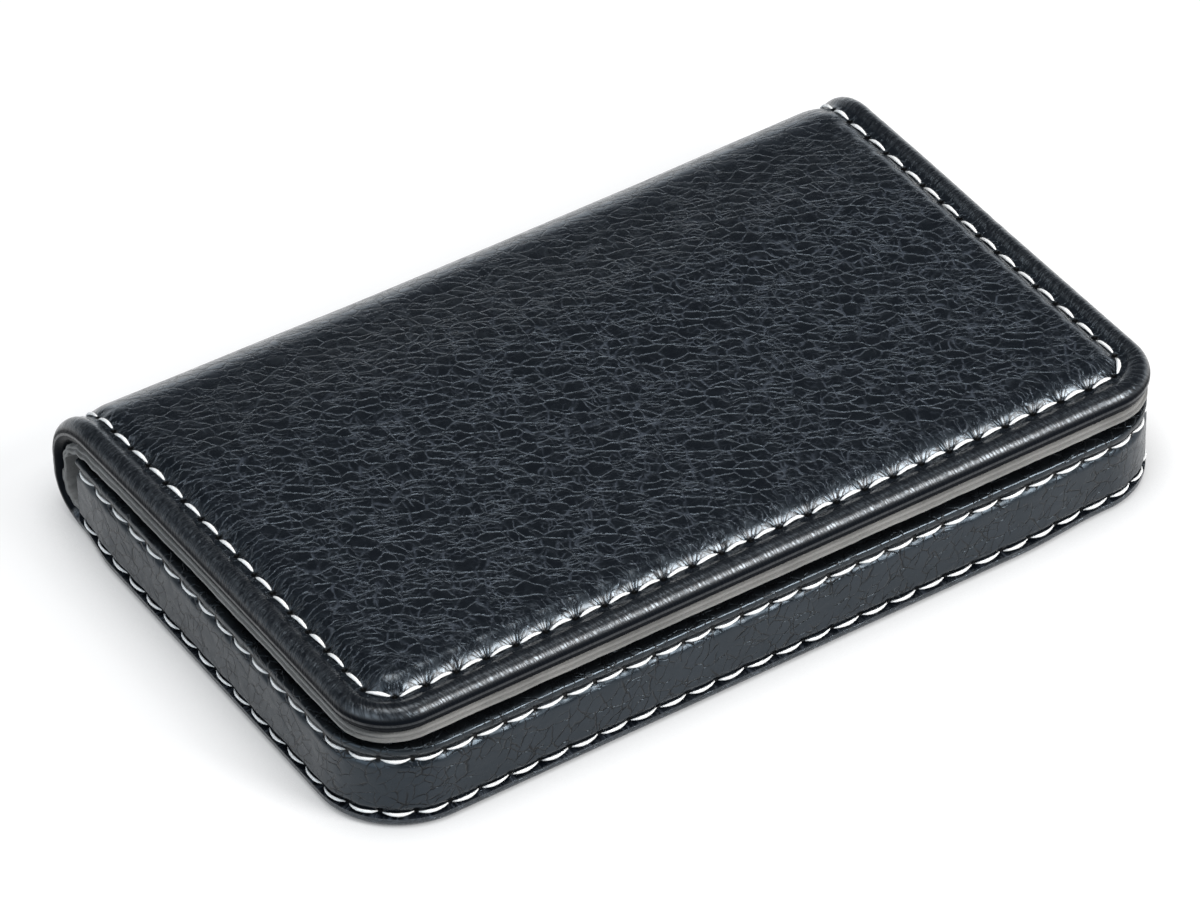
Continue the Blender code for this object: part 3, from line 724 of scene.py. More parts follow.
def coverPoint(across, run, lift):
    # The cover's outer line runs back along the top, turns a quarter circle, runs down
    # the spine, turns another quarter and runs forward under the base. run is the way
    # gone along it and lift is square to it. The ridge over the spine lies a little
    # lower than the lid and sags further in its middle, as 1 - (x / half)^2.
    upper, lower = cover["upperFold"], cover["lowerFold"]
    a = np.clip((run - flatTop) / upper, 0, np.pi / 2)
    down = np.clip(run - flatTop - topArc, 0, spineFlat)
    b = np.clip((run - flatTop - topArc - spineFlat) / lower, 0, np.pi / 2)
    under = np.maximum(run - flatTop - topArc - spineFlat - lowArc, 0)
    y = lidFront + np.minimum(run, flatTop) + upper * np.sin(a) - lower * (1 - np.cos(b)) - under
    z = coverTop - upper * (1 - np.cos(a)) - down - lower * np.sin(b)
    fall = 1 - ease((run - flatTop - topArc / 2) / (seamRun - flatTop - topArc / 2))
    sag = (cover["ridgeDrop"] + cover["ridgeSag"] * (1 - (across / lidHalf) ** 2)) * toFold(run) * fall
    return np.stack([across, y + lift * np.sin(a + b), z + lift * np.cos(a + b) - sag], -1)


def basePoint(across, run, lift):
    # the same, with run counted from the front edge of the base
    return coverPoint(across, coverRun - run, lift)


def outline(sideRuns, sideHalf, corner, steps):
    # Centres of a panel's outline and the way out from each: along the left side to the
    # front, round a quarter circle, along the front, and mirrored. A point at inset d
    # lies corner - d out from its centre. Each coarse step has four fine ones.
    reach = sideHalf[-1] - corner
    turn = np.linspace(0, np.pi / 2, 4 * steps["turn"] + 1)[1:]
    front = np.linspace(-reach, reach, 4 * steps["front"] + 1)[1:-1]
    left = np.stack([corner - sideHalf, sideRuns], -1)
    bend = np.stack([np.full(len(turn), -reach), np.full(len(turn), corner)], -1)
    half = np.concatenate([left, bend])
    bendOut = np.stack([-np.cos(turn), -np.sin(turn)], -1)
    halfOut = np.concatenate([np.tile([-1.0, 0.0], (len(left), 1)), bendOut])
    middle = np.stack([front, np.full(len(front), corner)], -1)
    flip = np.array([-1.0, 1.0])
    centres = np.concatenate([half, middle, half[::-1] * flip])
    outward = np.concatenate([halfOut, np.tile([0.0, -1.0], (len(front), 1)), halfOut[::-1] * flip])
    return centres, outward


def wayGone(centres, outward, reach):
    # length along the line that lies reach out from the centres
    return pathLength(centres + reach * outward)


def smoothEdge(across, run, half, corner):
    # Distance in from the edge: corner plus the two ways in, a and b, joined as
    # a b / sqrt(a^2 + b^2), so that no mitre line shows.
    a = np.maximum(half - np.abs(across) - corner, 0)
    b = np.maximum(run - corner, 0)
    return corner + a * b / np.sqrt(a ** 2 + b ** 2 + 1e-12)


def panelPiece(name, path, steps, corner, rings, middleLift, placeOf, material, slotName, rowMap=None):
    # A sheet with a worked edge: rings round the outline, each with its inset, the inset
    # laid flat and the lift of its points, the last one with a quarter of the points, and
    # a plain grid inside it. Bands across the sheet close the first ring, and one flat
    # face closes the rear end.
    centres, outward = path
    insets, developed, lifts = rings
    side, turn, front = steps["side"], steps["turn"], steps["front"]
    places = centres + (corner - insets)[..., None] * outward
    rim = placeOf(places[..., 0], places[..., 1], lifts)
    across = np.linspace(-1, 1, front + 1) * -centres[:4 * side + 1:4, :1]
    run = np.repeat(centres[:4 * side + 1:4, 1:], front + 1, 1)
    grid = placeOf(across, run, middleLift(across, run))

    rimIndex = np.arange(insets.size).reshape(insets.shape)
    gridIndex = insets.size + np.arange(across.size).reshape(across.shape)
    inner = np.concatenate([gridIndex[:, 0], np.repeat(gridIndex[-1, 0], turn), gridIndex[-1, 1:],
                            np.repeat(gridIndex[-1, -1], turn), gridIndex[-2::-1, -1]])
    faces = gridFaces(*insets.shape, 0) + gridFaces(*across.shape, insets.size)
    faces += [face for face in stepFaces(rimIndex[-1], inner) if len(set(face)) == 3]
    first, bends = rimIndex[0], 4 * (side + turn)
    left, right = first[:bends], first[::-1][:bends]
    faces += np.stack([left[:-1], left[1:], right[1:], right[:-1]], -1).tolist()
    faces.append(first[bends - 1:len(first) - bends + 1].tolist())
    faces.append(np.concatenate([rimIndex[:, 0], gridIndex[0], rimIndex[::-1, -1]]).tolist())

    points = np.concatenate([rim.reshape(-1, 3), grid.reshape(-1, 3)])
    sheetPlaces = centres + (corner - developed)[..., None] * outward
    sheet = np.concatenate([sheetPlaces.reshape(-1, 2), np.stack([across, run], -1).reshape(-1, 2)])
    maps = {"sheet": sheet * 100}
    if rowMap:
        gone, inward = rowMap
        rimRow = np.stack([np.broadcast_to(gone, insets.shape), inward(places, developed)], -1)
        fromSide = lidHalf - np.abs(across) < run
        sideGone = np.interp(run, centres[:4 * side + 1, 1][::-1], gone[:4 * side + 1][::-1])
        sideGone = np.where(across < 0, sideGone, gone[-1] - sideGone)
        perMetre = (gone[bends + 1] - gone[bends]) / (centres[bends + 1, 0] - centres[bends, 0])
        gridGone = np.where(fromSide, sideGone, gone[-1] / 2 + across * perMetre)
        gridRow = np.stack([gridGone, inward(np.stack([across, run], -1), None)], -1)
        maps["row"] = np.concatenate([rimRow.reshape(-1, 2), gridRow.reshape(-1, 2)])
    return makePiece(name, points, faces, material, slotName, maps)


def crownHeight(inset, run):
    # Two swells, each 1 - (1 - t)^2: a short steep one by the seam and a long one over
    # the padding. Both fade out toward the fold.
    short, long = (1 - (1 - np.clip((inset - cover["puffStart"]) / width, 0, 1)) ** 2
                   for width in (cover["puffEdge"], cover["puffWidth"]))
    share = cover["edgeShare"]
    return cover["crown"] * (1 - toFold(run)) * (share * short + (1 - share) * long)


def drape(across, run):
    # slow swells in the sheet, and fine creases along the folds
    wide, long = cover["drapeSize"]
    swell = cover["drapeDepth"] * roughness2d(across / wide + 20, run / long, 3)
    early, length = cover["foldCreaseFrom"]
    foldShare = ease((run - flatTop + early) / length)
    foldShare = foldShare * ease((coverRun - flatBase - run + early) / length)
    patches = 0.5 + 0.5 * roughness2d(across / 0.02, run / 0.006, 6)
    wide, long = cover["foldCreaseSize"]
    lines = creaseLines(across / wide + 30, run / long, 5, 7) * patches
    return swell - cover["foldCrease"] * lines * foldShare


def rollTall(run):
    # height of the roll, lower down the spine
    return cover["roll"] - cover["rollLoss"] * ease((run - flatTop) / topArc)


def coverRings(path, corner, phase, step, share, tall, crown, flare=0.0):
    # Rings from the turned-in end of the roll, an ellipse, over its top into the
    # stitched channel and up the side of the padding. share is one where the edge is
    # rolled and stitched, and nought where it is a plain turned-up lip, flare further
    # out. tall is the height of the roll at each point, and crown the padding's height
    # as a function of inset and run.
    centres, outward = path
    wide, high = cover["rollWidth"] / 2, tall / 2
    mean = (cover["rollWidth"] + cover["roll"]) / 4
    angle = np.linspace(-math.pi / 2, math.radians(cover["rollTurn"]), cover["rollSteps"] + 1)
    rollInset, rollLift = wide * (1 - np.cos(angle)), high * (np.sin(angle) - 1)[:, None]
    angle = np.append(angle[0], angle)
    rollInset = np.append(cover["rollBack"][0], rollInset)
    rollLift = np.concatenate([np.full((1, len(centres)), -cover["rollBack"][1]), rollLift])
    first, left, gap = cover["lastRings"]
    spans = cover["rings"] + ((first, corner * 1000 - left, gap),)
    flat = np.concatenate([np.arange(*span) for span in spans]) / 1000
    inset = np.concatenate([rollInset, flat])[:, None] * np.ones(len(centres))
    developed = np.concatenate([rollInset[-1] - (angle[-1] - angle) * mean, flat])
    developed = developed[:, None] * np.ones(len(centres))
    run = centres[:, 1] + (corner - inset) * outward[:, 1]
    side = centres[:, 0] + (corner - inset) * outward[:, 0]

    cell = np.round(phase)
    along = (phase - cell) * step
    near = inset - cover["rowInset"]
    pull = cover["holePull"] * (0.5 + 0.5 * np.cos(2 * np.pi * phase)) ** 2
    rise = 1 - (1 - np.clip((near - 0.0002 - pull) / cover["rowRise"], 0, 1)) ** 2
    groove = -cover["rowDepth"] * (1 - rise)
    ellipse = high * (np.sqrt(1 - np.clip((inset - wide) / wide, -1, 1) ** 2) - 1)
    lift = softMax(ellipse, groove, cover["softJoin"])
    hole = np.exp(-(along ** 2 + near ** 2) / cover["holeSize"] ** 2)
    lift = lift - cover["holeDepth"] * hole
    start = cover["fanStart"]
    spread, far = np.arctan2(along, near + start), np.hypot(along, near + start)
    fans = creaseLines(spread * 2.6 + cell * 5.37, far / 0.0035 + cell * 0.71, 11, 7)
    fans = fans * np.exp(-far / cover["fanLength"]) * np.cos(np.pi * (phase - cell)) ** 0.7
    fanEnd, fanFade = cover["fanEnd"]
    fans = fans * ease(near / start) * (1 - ease((inset - fanEnd) / fanFade))
    lift = lift - cover["fanDepth"] * fans
    rolled = len(rollInset)
    gone = phase * step
    across = creaseLines(gone / 0.0009, developed / 0.0030 + 9, 17, 4)
    across = across * (0.55 + 0.45 * roughness2d(gone / 0.006, developed / 0.004, 18))
    shrink = cover["rollCrease"] * across[:rolled] * ease((angle + 0.5) / 0.8)[:, None]
    lift[:rolled] = rollLift - np.sin(angle)[:, None] * shrink
    inset[:rolled] += np.cos(angle)[:, None] * shrink
    begin, width = cover["drapeFrom"]
    lift = lift + drape(side, run) * ease((inset - begin) / width)
    lift = lift * share + crown(inset, run)

    lipTurn = np.linspace(0, np.pi / 2, rolled - 4)
    lipInset = np.concatenate([[cover["leather"]], np.zeros(3), cover["lipRound"] * (1 - np.cos(lipTurn))])
    lipDrop = np.linspace(cover["lip"], cover["lipRound"], 4)[:3]
    lipLift = np.concatenate([[-cover["lip"]], -lipDrop, cover["lipRound"] * (np.sin(lipTurn) - 1)])
    inset[:rolled] = inset[:rolled] * share + (lipInset[:, None] - flare) * (1 - share)
    lift[:rolled] = lift[:rolled] + lipLift[:, None] * (1 - share)
    return inset, developed, lift


def coverHalf(run):
    # half the cover's width: it widens toward the spine and down it to the width of the tray
    start = flatTop - cover["widenFrom"]
    return lidHalf + (trayHalf - lidHalf) * ease((run - start) / (coverRun - flatBase - start))


upperSteps = {"side": 88, "turn": 13, "front": 120}
upperRuns = np.linspace(seamRun, cover["corner"], 4 * upperSteps["side"] + 1)
upperPath = outline(upperRuns, coverHalf(upperRuns), cover["corner"], upperSteps)
upperGone = wayGone(*upperPath, cover["corner"] - cover["rowInset"])
upperCount = round(upperGone[-1] / stitchPitch)
upperPitch = upperGone[-1] / upperCount
upperPhase = upperGone / upperPitch
upperRings = coverRings(upperPath, cover["corner"], upperPhase, upperPitch, 1.0,
                        rollTall(upperPath[0][:, 1]), crownHeight)


def upperMiddle(across, run):
    return crownHeight(smoothEdge(across, run, lidHalf, cover["corner"]), run) + drape(across, run)


def upperInward(places, developed):
    # millimetres in from the stitch row
    if developed is None:
        developed = smoothEdge(places[..., 0], places[..., 1], lidHalf, cover["corner"])
    return (developed - cover["rowInset"]) * 1000


lidCover = panelPiece("lid_cover", upperPath, upperSteps, cover["corner"], upperRings, upperMiddle,
                      coverPoint, coverLeather, "black_leather", (upperPhase, upperInward))
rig.replaces(lidCover, "lid_leather", "lid_foam", "spine_leather")
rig.padded(lidCover, fill=0.7)


def foldBend(first, last, deep):
    # The start and the end of a fold, each in (y, z). They are drawn in, so that what
    # lies deep under the cover's face follows one body alone where the two halves meet.
    first, last = np.array(first), np.array(last)
    step = np.sign(last - first) * deep / 2
    return {"start": (0, *(first + step)), "end": (0, *(last - step))}


upperEnds = (back - cover["upperFold"], coverTop), (back, coverTop - cover["upperFold"])
lowerEnds = (back, cover["lowerFold"]), (back - cover["lowerFold"], 0)
upperBend = foldBend(*upperEnds, cover["bendDraw"])
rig.blend(lidCover, "lid", "spine", **upperBend)
print("lid cover:", len(lidCover.data.polygons), "faces,", upperCount, "stitches")


# The cover's lower half, from the middle of the spine to the front of the base

trayCorner = 0.0095
wallFlare = {"out": 0.0008, "fade": 0.008, "right": 0.030, "rightFade": 0.012}
noRow = 20.0                 # mm, on the map of ways from the row where nothing is stitched
wallRear = bandHigh.y - baseLow.y
lowerSteps = {"side": 44, "turn": 8, "front": 50}
lowerRuns = np.linspace(coverRun - seamRun, trayCorner, 4 * lowerSteps["side"] + 1)


def wallOut(centres, rear):
    # how far the tray's foot stands out, fading toward the spine and toward the right
    fade = ease((rear - centres[:, 1]) / wallFlare["fade"])
    right = ease((centres[:, 0] - wallFlare["right"]) / wallFlare["rightFade"])
    return wallFlare["out"] * fade * (1 - right)


def rolledShare(run):
    # one where the edge is rolled, nought under the tray
    return ease((run - wallRear) / (cover["lowerFold"] / 2))


def flatHeight(inset, run):
    return 0 * inset


lowerPath = outline(lowerRuns, coverHalf(coverRun - lowerRuns), trayCorner, lowerSteps)
lowerGone = wayGone(*lowerPath, trayCorner - cover["rowInset"])
lowerPhase = np.minimum(lowerGone, lowerGone[-1] - lowerGone) / upperPitch
lowerRings = coverRings(lowerPath, trayCorner, lowerPhase, upperPitch,
                        rolledShare(lowerPath[0][:, 1]), rollTall(coverRun - lowerPath[0][:, 1]),
                        flatHeight, wallOut(lowerPath[0], wallRear))


def lowerMiddle(across, run):
    return drape(across, coverRun - run) * rolledShare(run)


def lowerInward(places, developed):
    # the same, far from any row under the tray
    if developed is None:
        return np.full(places.shape[:-1], noRow)
    return (developed - cover["rowInset"]) * 1000 + noRow * (1 - rolledShare(places[..., 1]))


baseCover = panelPiece("base_cover", lowerPath, lowerSteps, trayCorner, lowerRings, lowerMiddle,
                       basePoint, coverLeather, "black_leather", (lowerPhase, lowerInward))
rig.replaces(baseCover, "base_leather")
lowerBend = foldBend(*lowerEnds, cover["bendDraw"])
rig.blend(baseCover, "spine", "tray", **lowerBend)
print("base cover:", len(baseCover.data.polygons), "faces")


# Grey lining: two plies glued back to back, so their edge shows a fine dark line

lining = {
    "inset": 0.00020,
    "face": 0.0023,          # below the cover's outer face
    "drop": (0.0020, 0.0018),    # inset where it comes up from under the roll, and over what width
    "thickness": 0.0009,
    "split": 0.00042,        # where the two plies meet, below the upper face
    "splitDepth": 0.00050,
    "upperPly": 0.00022,     # how far the upper ply stays behind the lower one
    "edgeRound": 0.00016,
    "wave": 0.00009,
    "spineWave": 0.00022,
    "bendDraw": 0.0022,
}


def edgeDrop(inward, run):
    # the sheet lies lower under the lid's roll and comes up to its own level further in
    start, width = lining["drop"]
    return np.maximum(rollTall(run) - lining["face"], 0) * (1 - ease((inward - start) / width))


def liningRings(path, corner):
    # Rings over the edge of the sheet: upper face, rounded edge with the split, lower face.
    centres, outward = path
    low, split, soft = lining["thickness"], lining["split"], lining["edgeRound"]
    turn = np.linspace(0, np.pi / 2, 4)
    depth = np.concatenate([[0, 0], soft * (1 - np.cos(turn)), split - 0.00010 + np.linspace(0, 0.00020, 3),
                            [(split + low) / 2], low - soft * (1 - np.sin(turn)), [low, low, low, low]])
    behind = lining["upperPly"]
    inward = np.concatenate([[0.0032, 0.0008], soft * (1 - np.sin(turn)) + behind,
                             [behind + 0.00003, lining["splitDepth"], 0.00003],
                             [0], soft * (1 - np.cos(turn)), [0.0008, 0.0016, 0.0026, 0.0040]])
    gone = wayGone(centres, outward, corner)
    wobble = roughness2d(gone / 0.0035, 0.5, 23) + roughness2d(gone / 0.0009, 0.5, 24) / 2
    inset = lining["inset"] + inward[:, None] + lining["wave"] * wobble * np.exp(-inward / 0.0006)[:, None]
    across, run = centres[:, 0] + corner * outward[:, 0], centres[:, 1]
    lift = -(lining["face"] + depth)[:, None] - edgeDrop(inward[:, None], run) + liningWave(across, run)
    return inset, inset, lift


def liningWave(across, run):
    # the glued sheet lifts in shallow waves where it bends inside the spine
    reach = 0.004
    bent = ease((run - flatTop + reach) / reach) * ease((coverRun - flatBase - run + reach) / reach)
    shift = 2 * roughness2d(across / 0.02, run / 0.02, 31)
    return -lining["spineWave"] * bent * np.sin(run / 0.0011 + shift) ** 2


def upperLiningMiddle(across, run):
    return -lining["face"] - lining["thickness"] + liningWave(across, run)


liningSteps = {"side": 44, "turn": 5, "front": 60}
liningRuns = np.linspace(seamRun, cover["corner"], 4 * liningSteps["side"] + 1)
liningPath = outline(liningRuns, coverHalf(liningRuns), cover["corner"], liningSteps)
lidLining = panelPiece("lid_suede", liningPath, liningSteps, cover["corner"],
                       liningRings(liningPath, cover["corner"]), upperLiningMiddle,
                       coverPoint, suede, "grey_lining")
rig.replaces(lidLining, "lid_lining", "spine_lining")
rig.blend(lidLining, "lid", "spine", **foldBend(*upperEnds, lining["bendDraw"]))

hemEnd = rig.box("hem_lining")[0].y - baseLow.y
hemRuns = np.linspace(coverRun - seamRun, hemEnd, 41)
# depth and inset of the sheet's edge, which has a fine groove between the two plies
hemDepth = np.array([0, 0.00012, 0.00022, 0.00035, 0.00048, 0.0006, 0.00078, 0.0009])
hemInward = np.array([0.00016, 0.00003, 0.00003, 0.00014, 0.00003, 0, 0.00003, 0.00016])


def hemSheet():
    # a closed tube of the sheet's section, flat on top, carried from the seam to its glued end
    half = (coverHalf(coverRun - hemRuns) - lining["inset"])[:, None]
    inside = np.linspace(1, -1, 24)
    across = np.concatenate([half - hemInward, (half - 0.001) * inside, hemInward[::-1] - half], 1)
    depth = np.concatenate([hemDepth, np.full(24, hemDepth[-1]), hemDepth[::-1]])
    lift = -lining["face"] - depth + liningWave(across, coverRun - hemRuns[:, None])
    points = basePoint(across, np.broadcast_to(hemRuns[:, None], lift.shape), lift)
    return makePiece("hem_suede", points, tubeFaces(*lift.shape), suede, "grey_lining")


hemSuede = hemSheet()
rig.replaces(hemSuede, "hem_lining")
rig.blend(hemSuede, "spine", "tray", **foldBend(*lowerEnds, lining["bendDraw"]))
print("lining ready")


# Stitches: one arched, twisted length of yarn between each two needle holes

stitch = {
    "gap": 0.25,            # share of the pitch that goes down the two holes
    "half": (0.00024, 0.00018),   # half width and half height of the yarn
    "arch": 0.00032,        # rise of the middle over the ends
    "start": -0.00058,      # height of the ends from the outer face
    "slant": 0.00012,
    "uneven": (0.16, 0.00004),    # share of the arch, and the move to a side
    "ply": 0.13,            # depth of the two plies
    "twist": 2.4,           # turns in one stitch
    "taper": 0.62,
    "sides": 8,
    "segments": 6,
    "fibres": (1200, 0.23),       # the thread's map: per metre along it, per radian round it
}
wallStitch = dict(stitch, gap=0.14, half=(0.00021, 0.00017), arch=0.00034, start=-0.00042,
                  slant=0.00005)
pocketStitch = dict(stitch, half=(0.00016, 0.00012), arch=0.00024, start=-0.00016)


def stitchRow(name, line, upward, gone, pitch, numbers, look, material=whiteThread):
    # The yarn's middle follows the row and rises as sin(pi t)^0.8 over the surface. Its
    # section is an ellipse times 1 + ply cos 2(a - twist), thinner at both ends.
    t = np.linspace(0, 1, look["segments"] + 1)
    a = np.linspace(0, 2 * np.pi, look["sides"], endpoint=False)
    t = np.broadcast_to(t[None, :], (len(numbers), len(t)))
    way = (numbers[:, None] + look["gap"] / 2 + (1 - look["gap"]) * t) * pitch

    def along(values, where):
        return np.stack([np.interp(where, gone, values[:, k]) for k in range(3)], -1)

    centre, up = along(line, way), along(upward, way)
    tangent = along(line, way + 1e-4) - along(line, way - 1e-4)
    tangent /= np.linalg.norm(tangent, axis=-1, keepdims=True)
    side = np.cross(up, tangent)
    wobble = np.random.default_rng(41).uniform(-1, 1, (4, len(numbers), 1))
    archWobble, sideWobble = look["uneven"]
    rise = look["start"] + look["arch"] * (1 + archWobble * wobble[0]) * np.sin(np.pi * t) ** 0.8
    shift = look["slant"] * (2 * t - 1) + sideWobble * wobble[1]
    thin = 1 - look["taper"] * np.abs(2 * t - 1) ** 2.4
    centre = centre + up * rise[..., None] + side * shift[..., None]
    lobes = 1 + look["ply"] * np.cos(2 * (a - 2 * np.pi * (look["twist"] * t + wobble[2])[..., None]))
    reach = thin[..., None] * lobes
    wide, high = look["half"]
    points = (centre[..., None, :] + side[..., None, :] * (wide * np.cos(a) * reach)[..., None]
              + up[..., None, :] * (high * np.sin(a) * reach)[..., None])
    count, rings, sides = points.shape[:3]
    index = np.arange(count * rings * sides).reshape(count, rings, sides)
    turned = np.roll(index, -1, 2)
    quads = np.stack([index[:, :-1], turned[:, :-1], turned[:, 1:], index[:, 1:]], -1)
    faces = quads.reshape(-1, 4).tolist() + index[:, 0].tolist() + index[:, -1].tolist()
    lengthwise, around = look["fibres"]
    length = np.broadcast_to((way * lengthwise)[..., None], points.shape[:3])
    yarn = np.stack([length, np.broadcast_to(a * around, points.shape[:3])], -1)
    slotName = "white_thread" if material == whiteThread else "black_panel"
    piece = makePiece(name, points, faces, material, slotName, {"thread": yarn}, sharp=80)
    print(name + ":", count, "stitches")
    return piece


def coverRow(path, corner, placeOf):
    # the row's line on the cover and the way up from it
    centres, outward = path
    places = centres + (corner - cover["rowInset"]) * outward
    line = placeOf(places[:, 0], places[:, 1], np.zeros(len(places)))
    raised = placeOf(places[:, 0], places[:, 1], np.full(len(places), 0.001))
    return line, (raised - line) * 1000


upperLine, upperUp = coverRow(upperPath, cover["corner"], coverPoint)
upperStitches = stitchRow("lid_stitches", upperLine, upperUp, upperGone, upperPitch,
                          np.arange(upperCount), stitch)
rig.replaces(upperStitches, "lid_thread")
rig.blend(upperStitches, "lid", "spine", **upperBend)

lowerLine, lowerUp = coverRow(lowerPath, trayCorner, basePoint)
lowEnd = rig.box("spine_thread_left")[0].z
lowerCount = int(lowerGone[np.argmax(lowerLine[:, 2] < lowEnd)] / upperPitch)
lastCount = lowerGone[-1] / upperPitch
lowerNumbers = np.concatenate([np.arange(lowerCount), lastCount - 1 - np.arange(lowerCount)])
lowerStitches = stitchRow("spine_stitches", lowerLine, lowerUp, lowerGone, upperPitch,
                          lowerNumbers, stitch)
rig.replaces(lowerStitches, "spine_thread_left", "spine_thread_right")
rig.blend(lowerStitches, "spine", "tray", **lowerBend)


# The tray's wall: a leather band over the rim, with a sunk stitch row above and below

band = {
    "wall": 0.0033,
    "leather": 0.0006,
    "rimCurve": 0.0007,
    "rimPower": 0.48,         # below one squares the rim's two shoulders
    "rows": (0.00165, 0.00860),
    "rowDepth": 0.00040,
    "rowWidth": 0.00050,      # half width of the sunk line
    "rowSlope": 0.00095,
    "pinch": 0.00008,         # how much wider the line is at a needle hole
    "holeSize": 0.00033,
    "holeDepth": 0.00012,
    "foldDepth": 0.00006,
    "foldStart": 0.0003,
    "foldReach": 0.0013,      # how far from a hole its folds fade
    "waveDepth": 0.00007,
    "rimWaves": ((0.00005, 0.0016), (0.00004, 0.0006)),   # height and length
    "ringStep": 0.00017,
    "innerBottom": 0.0019,
}


def buildBand():
    # A closed section carried round the walls. Its outer side leans in from the foot,
    # goes up with two sunk lines, over the rim as half an oval with squared shoulders,
    # |cos|^p by |sin|^p, down the inside and back behind itself.
    steps = {"side": 44, "turn": 12, "front": 72}
    runs = np.linspace(bandHigh.y - bandLow.y, trayCorner, 4 * steps["side"] + 1)
    centres, outward = outline(runs, np.full(len(runs), bandHigh.x), trayCorner, steps)
    gone = wayGone(centres, outward, trayCorner)
    count = round(gone[-1] / stitchPitch)
    pitch = gone[-1] / count
    phase = gone / pitch
    low, high, wall = bandLow.z, bandHigh.z, band["wall"]
    shoulder = high - band["rimCurve"]

    upright = np.arange(low + 0.00018, shoulder, band["ringStep"])
    height = np.concatenate([[low, low + 0.00006], upright])
    turn = np.linspace(0, np.pi, 19)
    rimInset = wall / 2 * (1 - np.sign(np.cos(turn)) * np.abs(np.cos(turn)) ** band["rimPower"])
    rimHeight = shoulder + band["rimCurve"] * np.abs(np.sin(turn)) ** band["rimPower"]
    z = np.concatenate([height, rimHeight])[:, None]
    outerInset = np.concatenate([height * 0, rimInset])[:, None]

    cell = np.round(phase)
    along = (phase - cell) * pitch
    sunk, hole, folds = 0, 0, 0
    for number, row in enumerate(band["rows"]):
        near = np.abs(z - row)
        width = band["rowWidth"] + band["pinch"] * np.cos(2 * np.pi * phase)
        sunk = sunk + 1 - ease((near - width) / band["rowSlope"] + 0.5)
        hole = hole + np.exp(-(along ** 2 + near ** 2) / band["holeSize"] ** 2)
        start = near + band["foldStart"]
        spread, far = np.arctan2(along, start), np.hypot(along, start)
        lines = creaseLines(spread * 2.2 + cell * 3.1 + 17 * number, far / 0.004 + cell, 51 + number, 6)
        folds = folds + lines * np.exp(-far / band["foldReach"]) * ease((near - 0.0004) / 0.0004)
    swell = roughness2d(gone / 0.009, z / 0.004 + 7, 55) + 0.5 * roughness2d(gone / 0.0031, z / 0.003, 56)
    face = outerInset < 1e-9
    depth = band["rowDepth"] * sunk + band["holeDepth"] * hole + band["foldDepth"] * folds
    depth = depth + band["waveDepth"] * (1 + swell) / 2
    outer = outerInset + depth * np.where(face, 1, np.exp(-outerInset / 0.0002))
    rimWave = 0
    for number, (tall, long) in enumerate(band["rimWaves"]):
        rimWave = rimWave + tall * roughness2d(gone / long, 0.5, 57 + number)
    top = z + rimWave * (1 - face) * np.sin(np.append(height * 0, turn))[:, None]
    outer[0], outer[1] = outer[2] + 0.00006, outer[2] + 0.00001
    flare = wallOut(centres, bandHigh.y - bandLow.y)
    outer = outer - flare * np.clip(1 - z / high, 0, 1)

    skin, bottom = band["leather"], band["innerBottom"]
    inside, under = wall - skin, band["rowDepth"] + skin
    inner = np.array([wall, wall, wall - 0.00008, inside, inside, inside, wall / 2, under, under, under])
    innerZ = np.array([(shoulder + bottom) / 2, bottom + 0.0001, bottom, bottom, (shoulder + bottom) / 2,
                       shoulder - 0.0002, high - skin, shoulder - 0.0002, (shoulder + low) / 2, low])
    full = (len(inner), len(gone))
    insets = np.concatenate([outer, np.broadcast_to(inner[:, None], full)])
    heights = np.concatenate([np.broadcast_to(top, outer.shape), np.broadcast_to(innerZ[:, None], full)])
    places = centres + (trayCorner - insets)[..., None] * outward
    points = np.concatenate([places + [0, bandLow.y], heights[..., None]], -1)

    rows, columns = heights.shape
    index = np.arange(rows * columns).reshape(rows, columns)
    closing = np.stack([index[-1, :-1], index[-1, 1:], index[0, 1:], index[0, :-1]], -1).tolist()
    faces = gridFaces(rows, columns, 0) + closing + [index[:, 0].tolist(), index[:, -1].tolist()]
    step = np.hypot(np.diff(insets, axis=0), np.diff(heights, axis=0)).mean(1)
    upward = np.concatenate([[0], np.cumsum(step)])[:, None] + low
    rowGap = np.min([np.abs(upward - row - 0.0002) for row in band["rows"]], 0)
    maps = {"sheet": np.stack(np.broadcast_arrays(gone, upward), -1) * 100,
            "row": np.stack(np.broadcast_arrays(phase, rowGap * 1000), -1)}
    piece = makePiece("tray_wall", points, faces, bandLeather, "black_leather", maps, sharp=60)
    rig.replaces(piece, "tray_band")
    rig.ride(piece, "tray")
    print("tray wall:", len(piece.data.polygons), "faces")

    foot = [0, bandLow.y]
    upward = np.concatenate([outward, np.zeros((len(outward), 1))], 1)
    names = ("wall_stitches_low", "band_bottom_thread"), ("wall_stitches_high", "band_top_thread")
    for (label, node), row in zip(names, band["rows"]):
        edge = centres + (trayCorner + flare * (1 - row / high))[:, None] * outward + foot
        line = np.concatenate([edge, np.full((len(edge), 1), row)], 1)
        yarn = stitchRow(label, line, upward, gone, pitch, np.arange(count), wallStitch)
        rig.replaces(yarn, node)
        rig.ride(yarn, "tray")


buildBand()


# Rear wall of the card bay

rearWall = {"top": 0.0011, "end": 0.0011, "columns": 120, "wave": 0.00005}


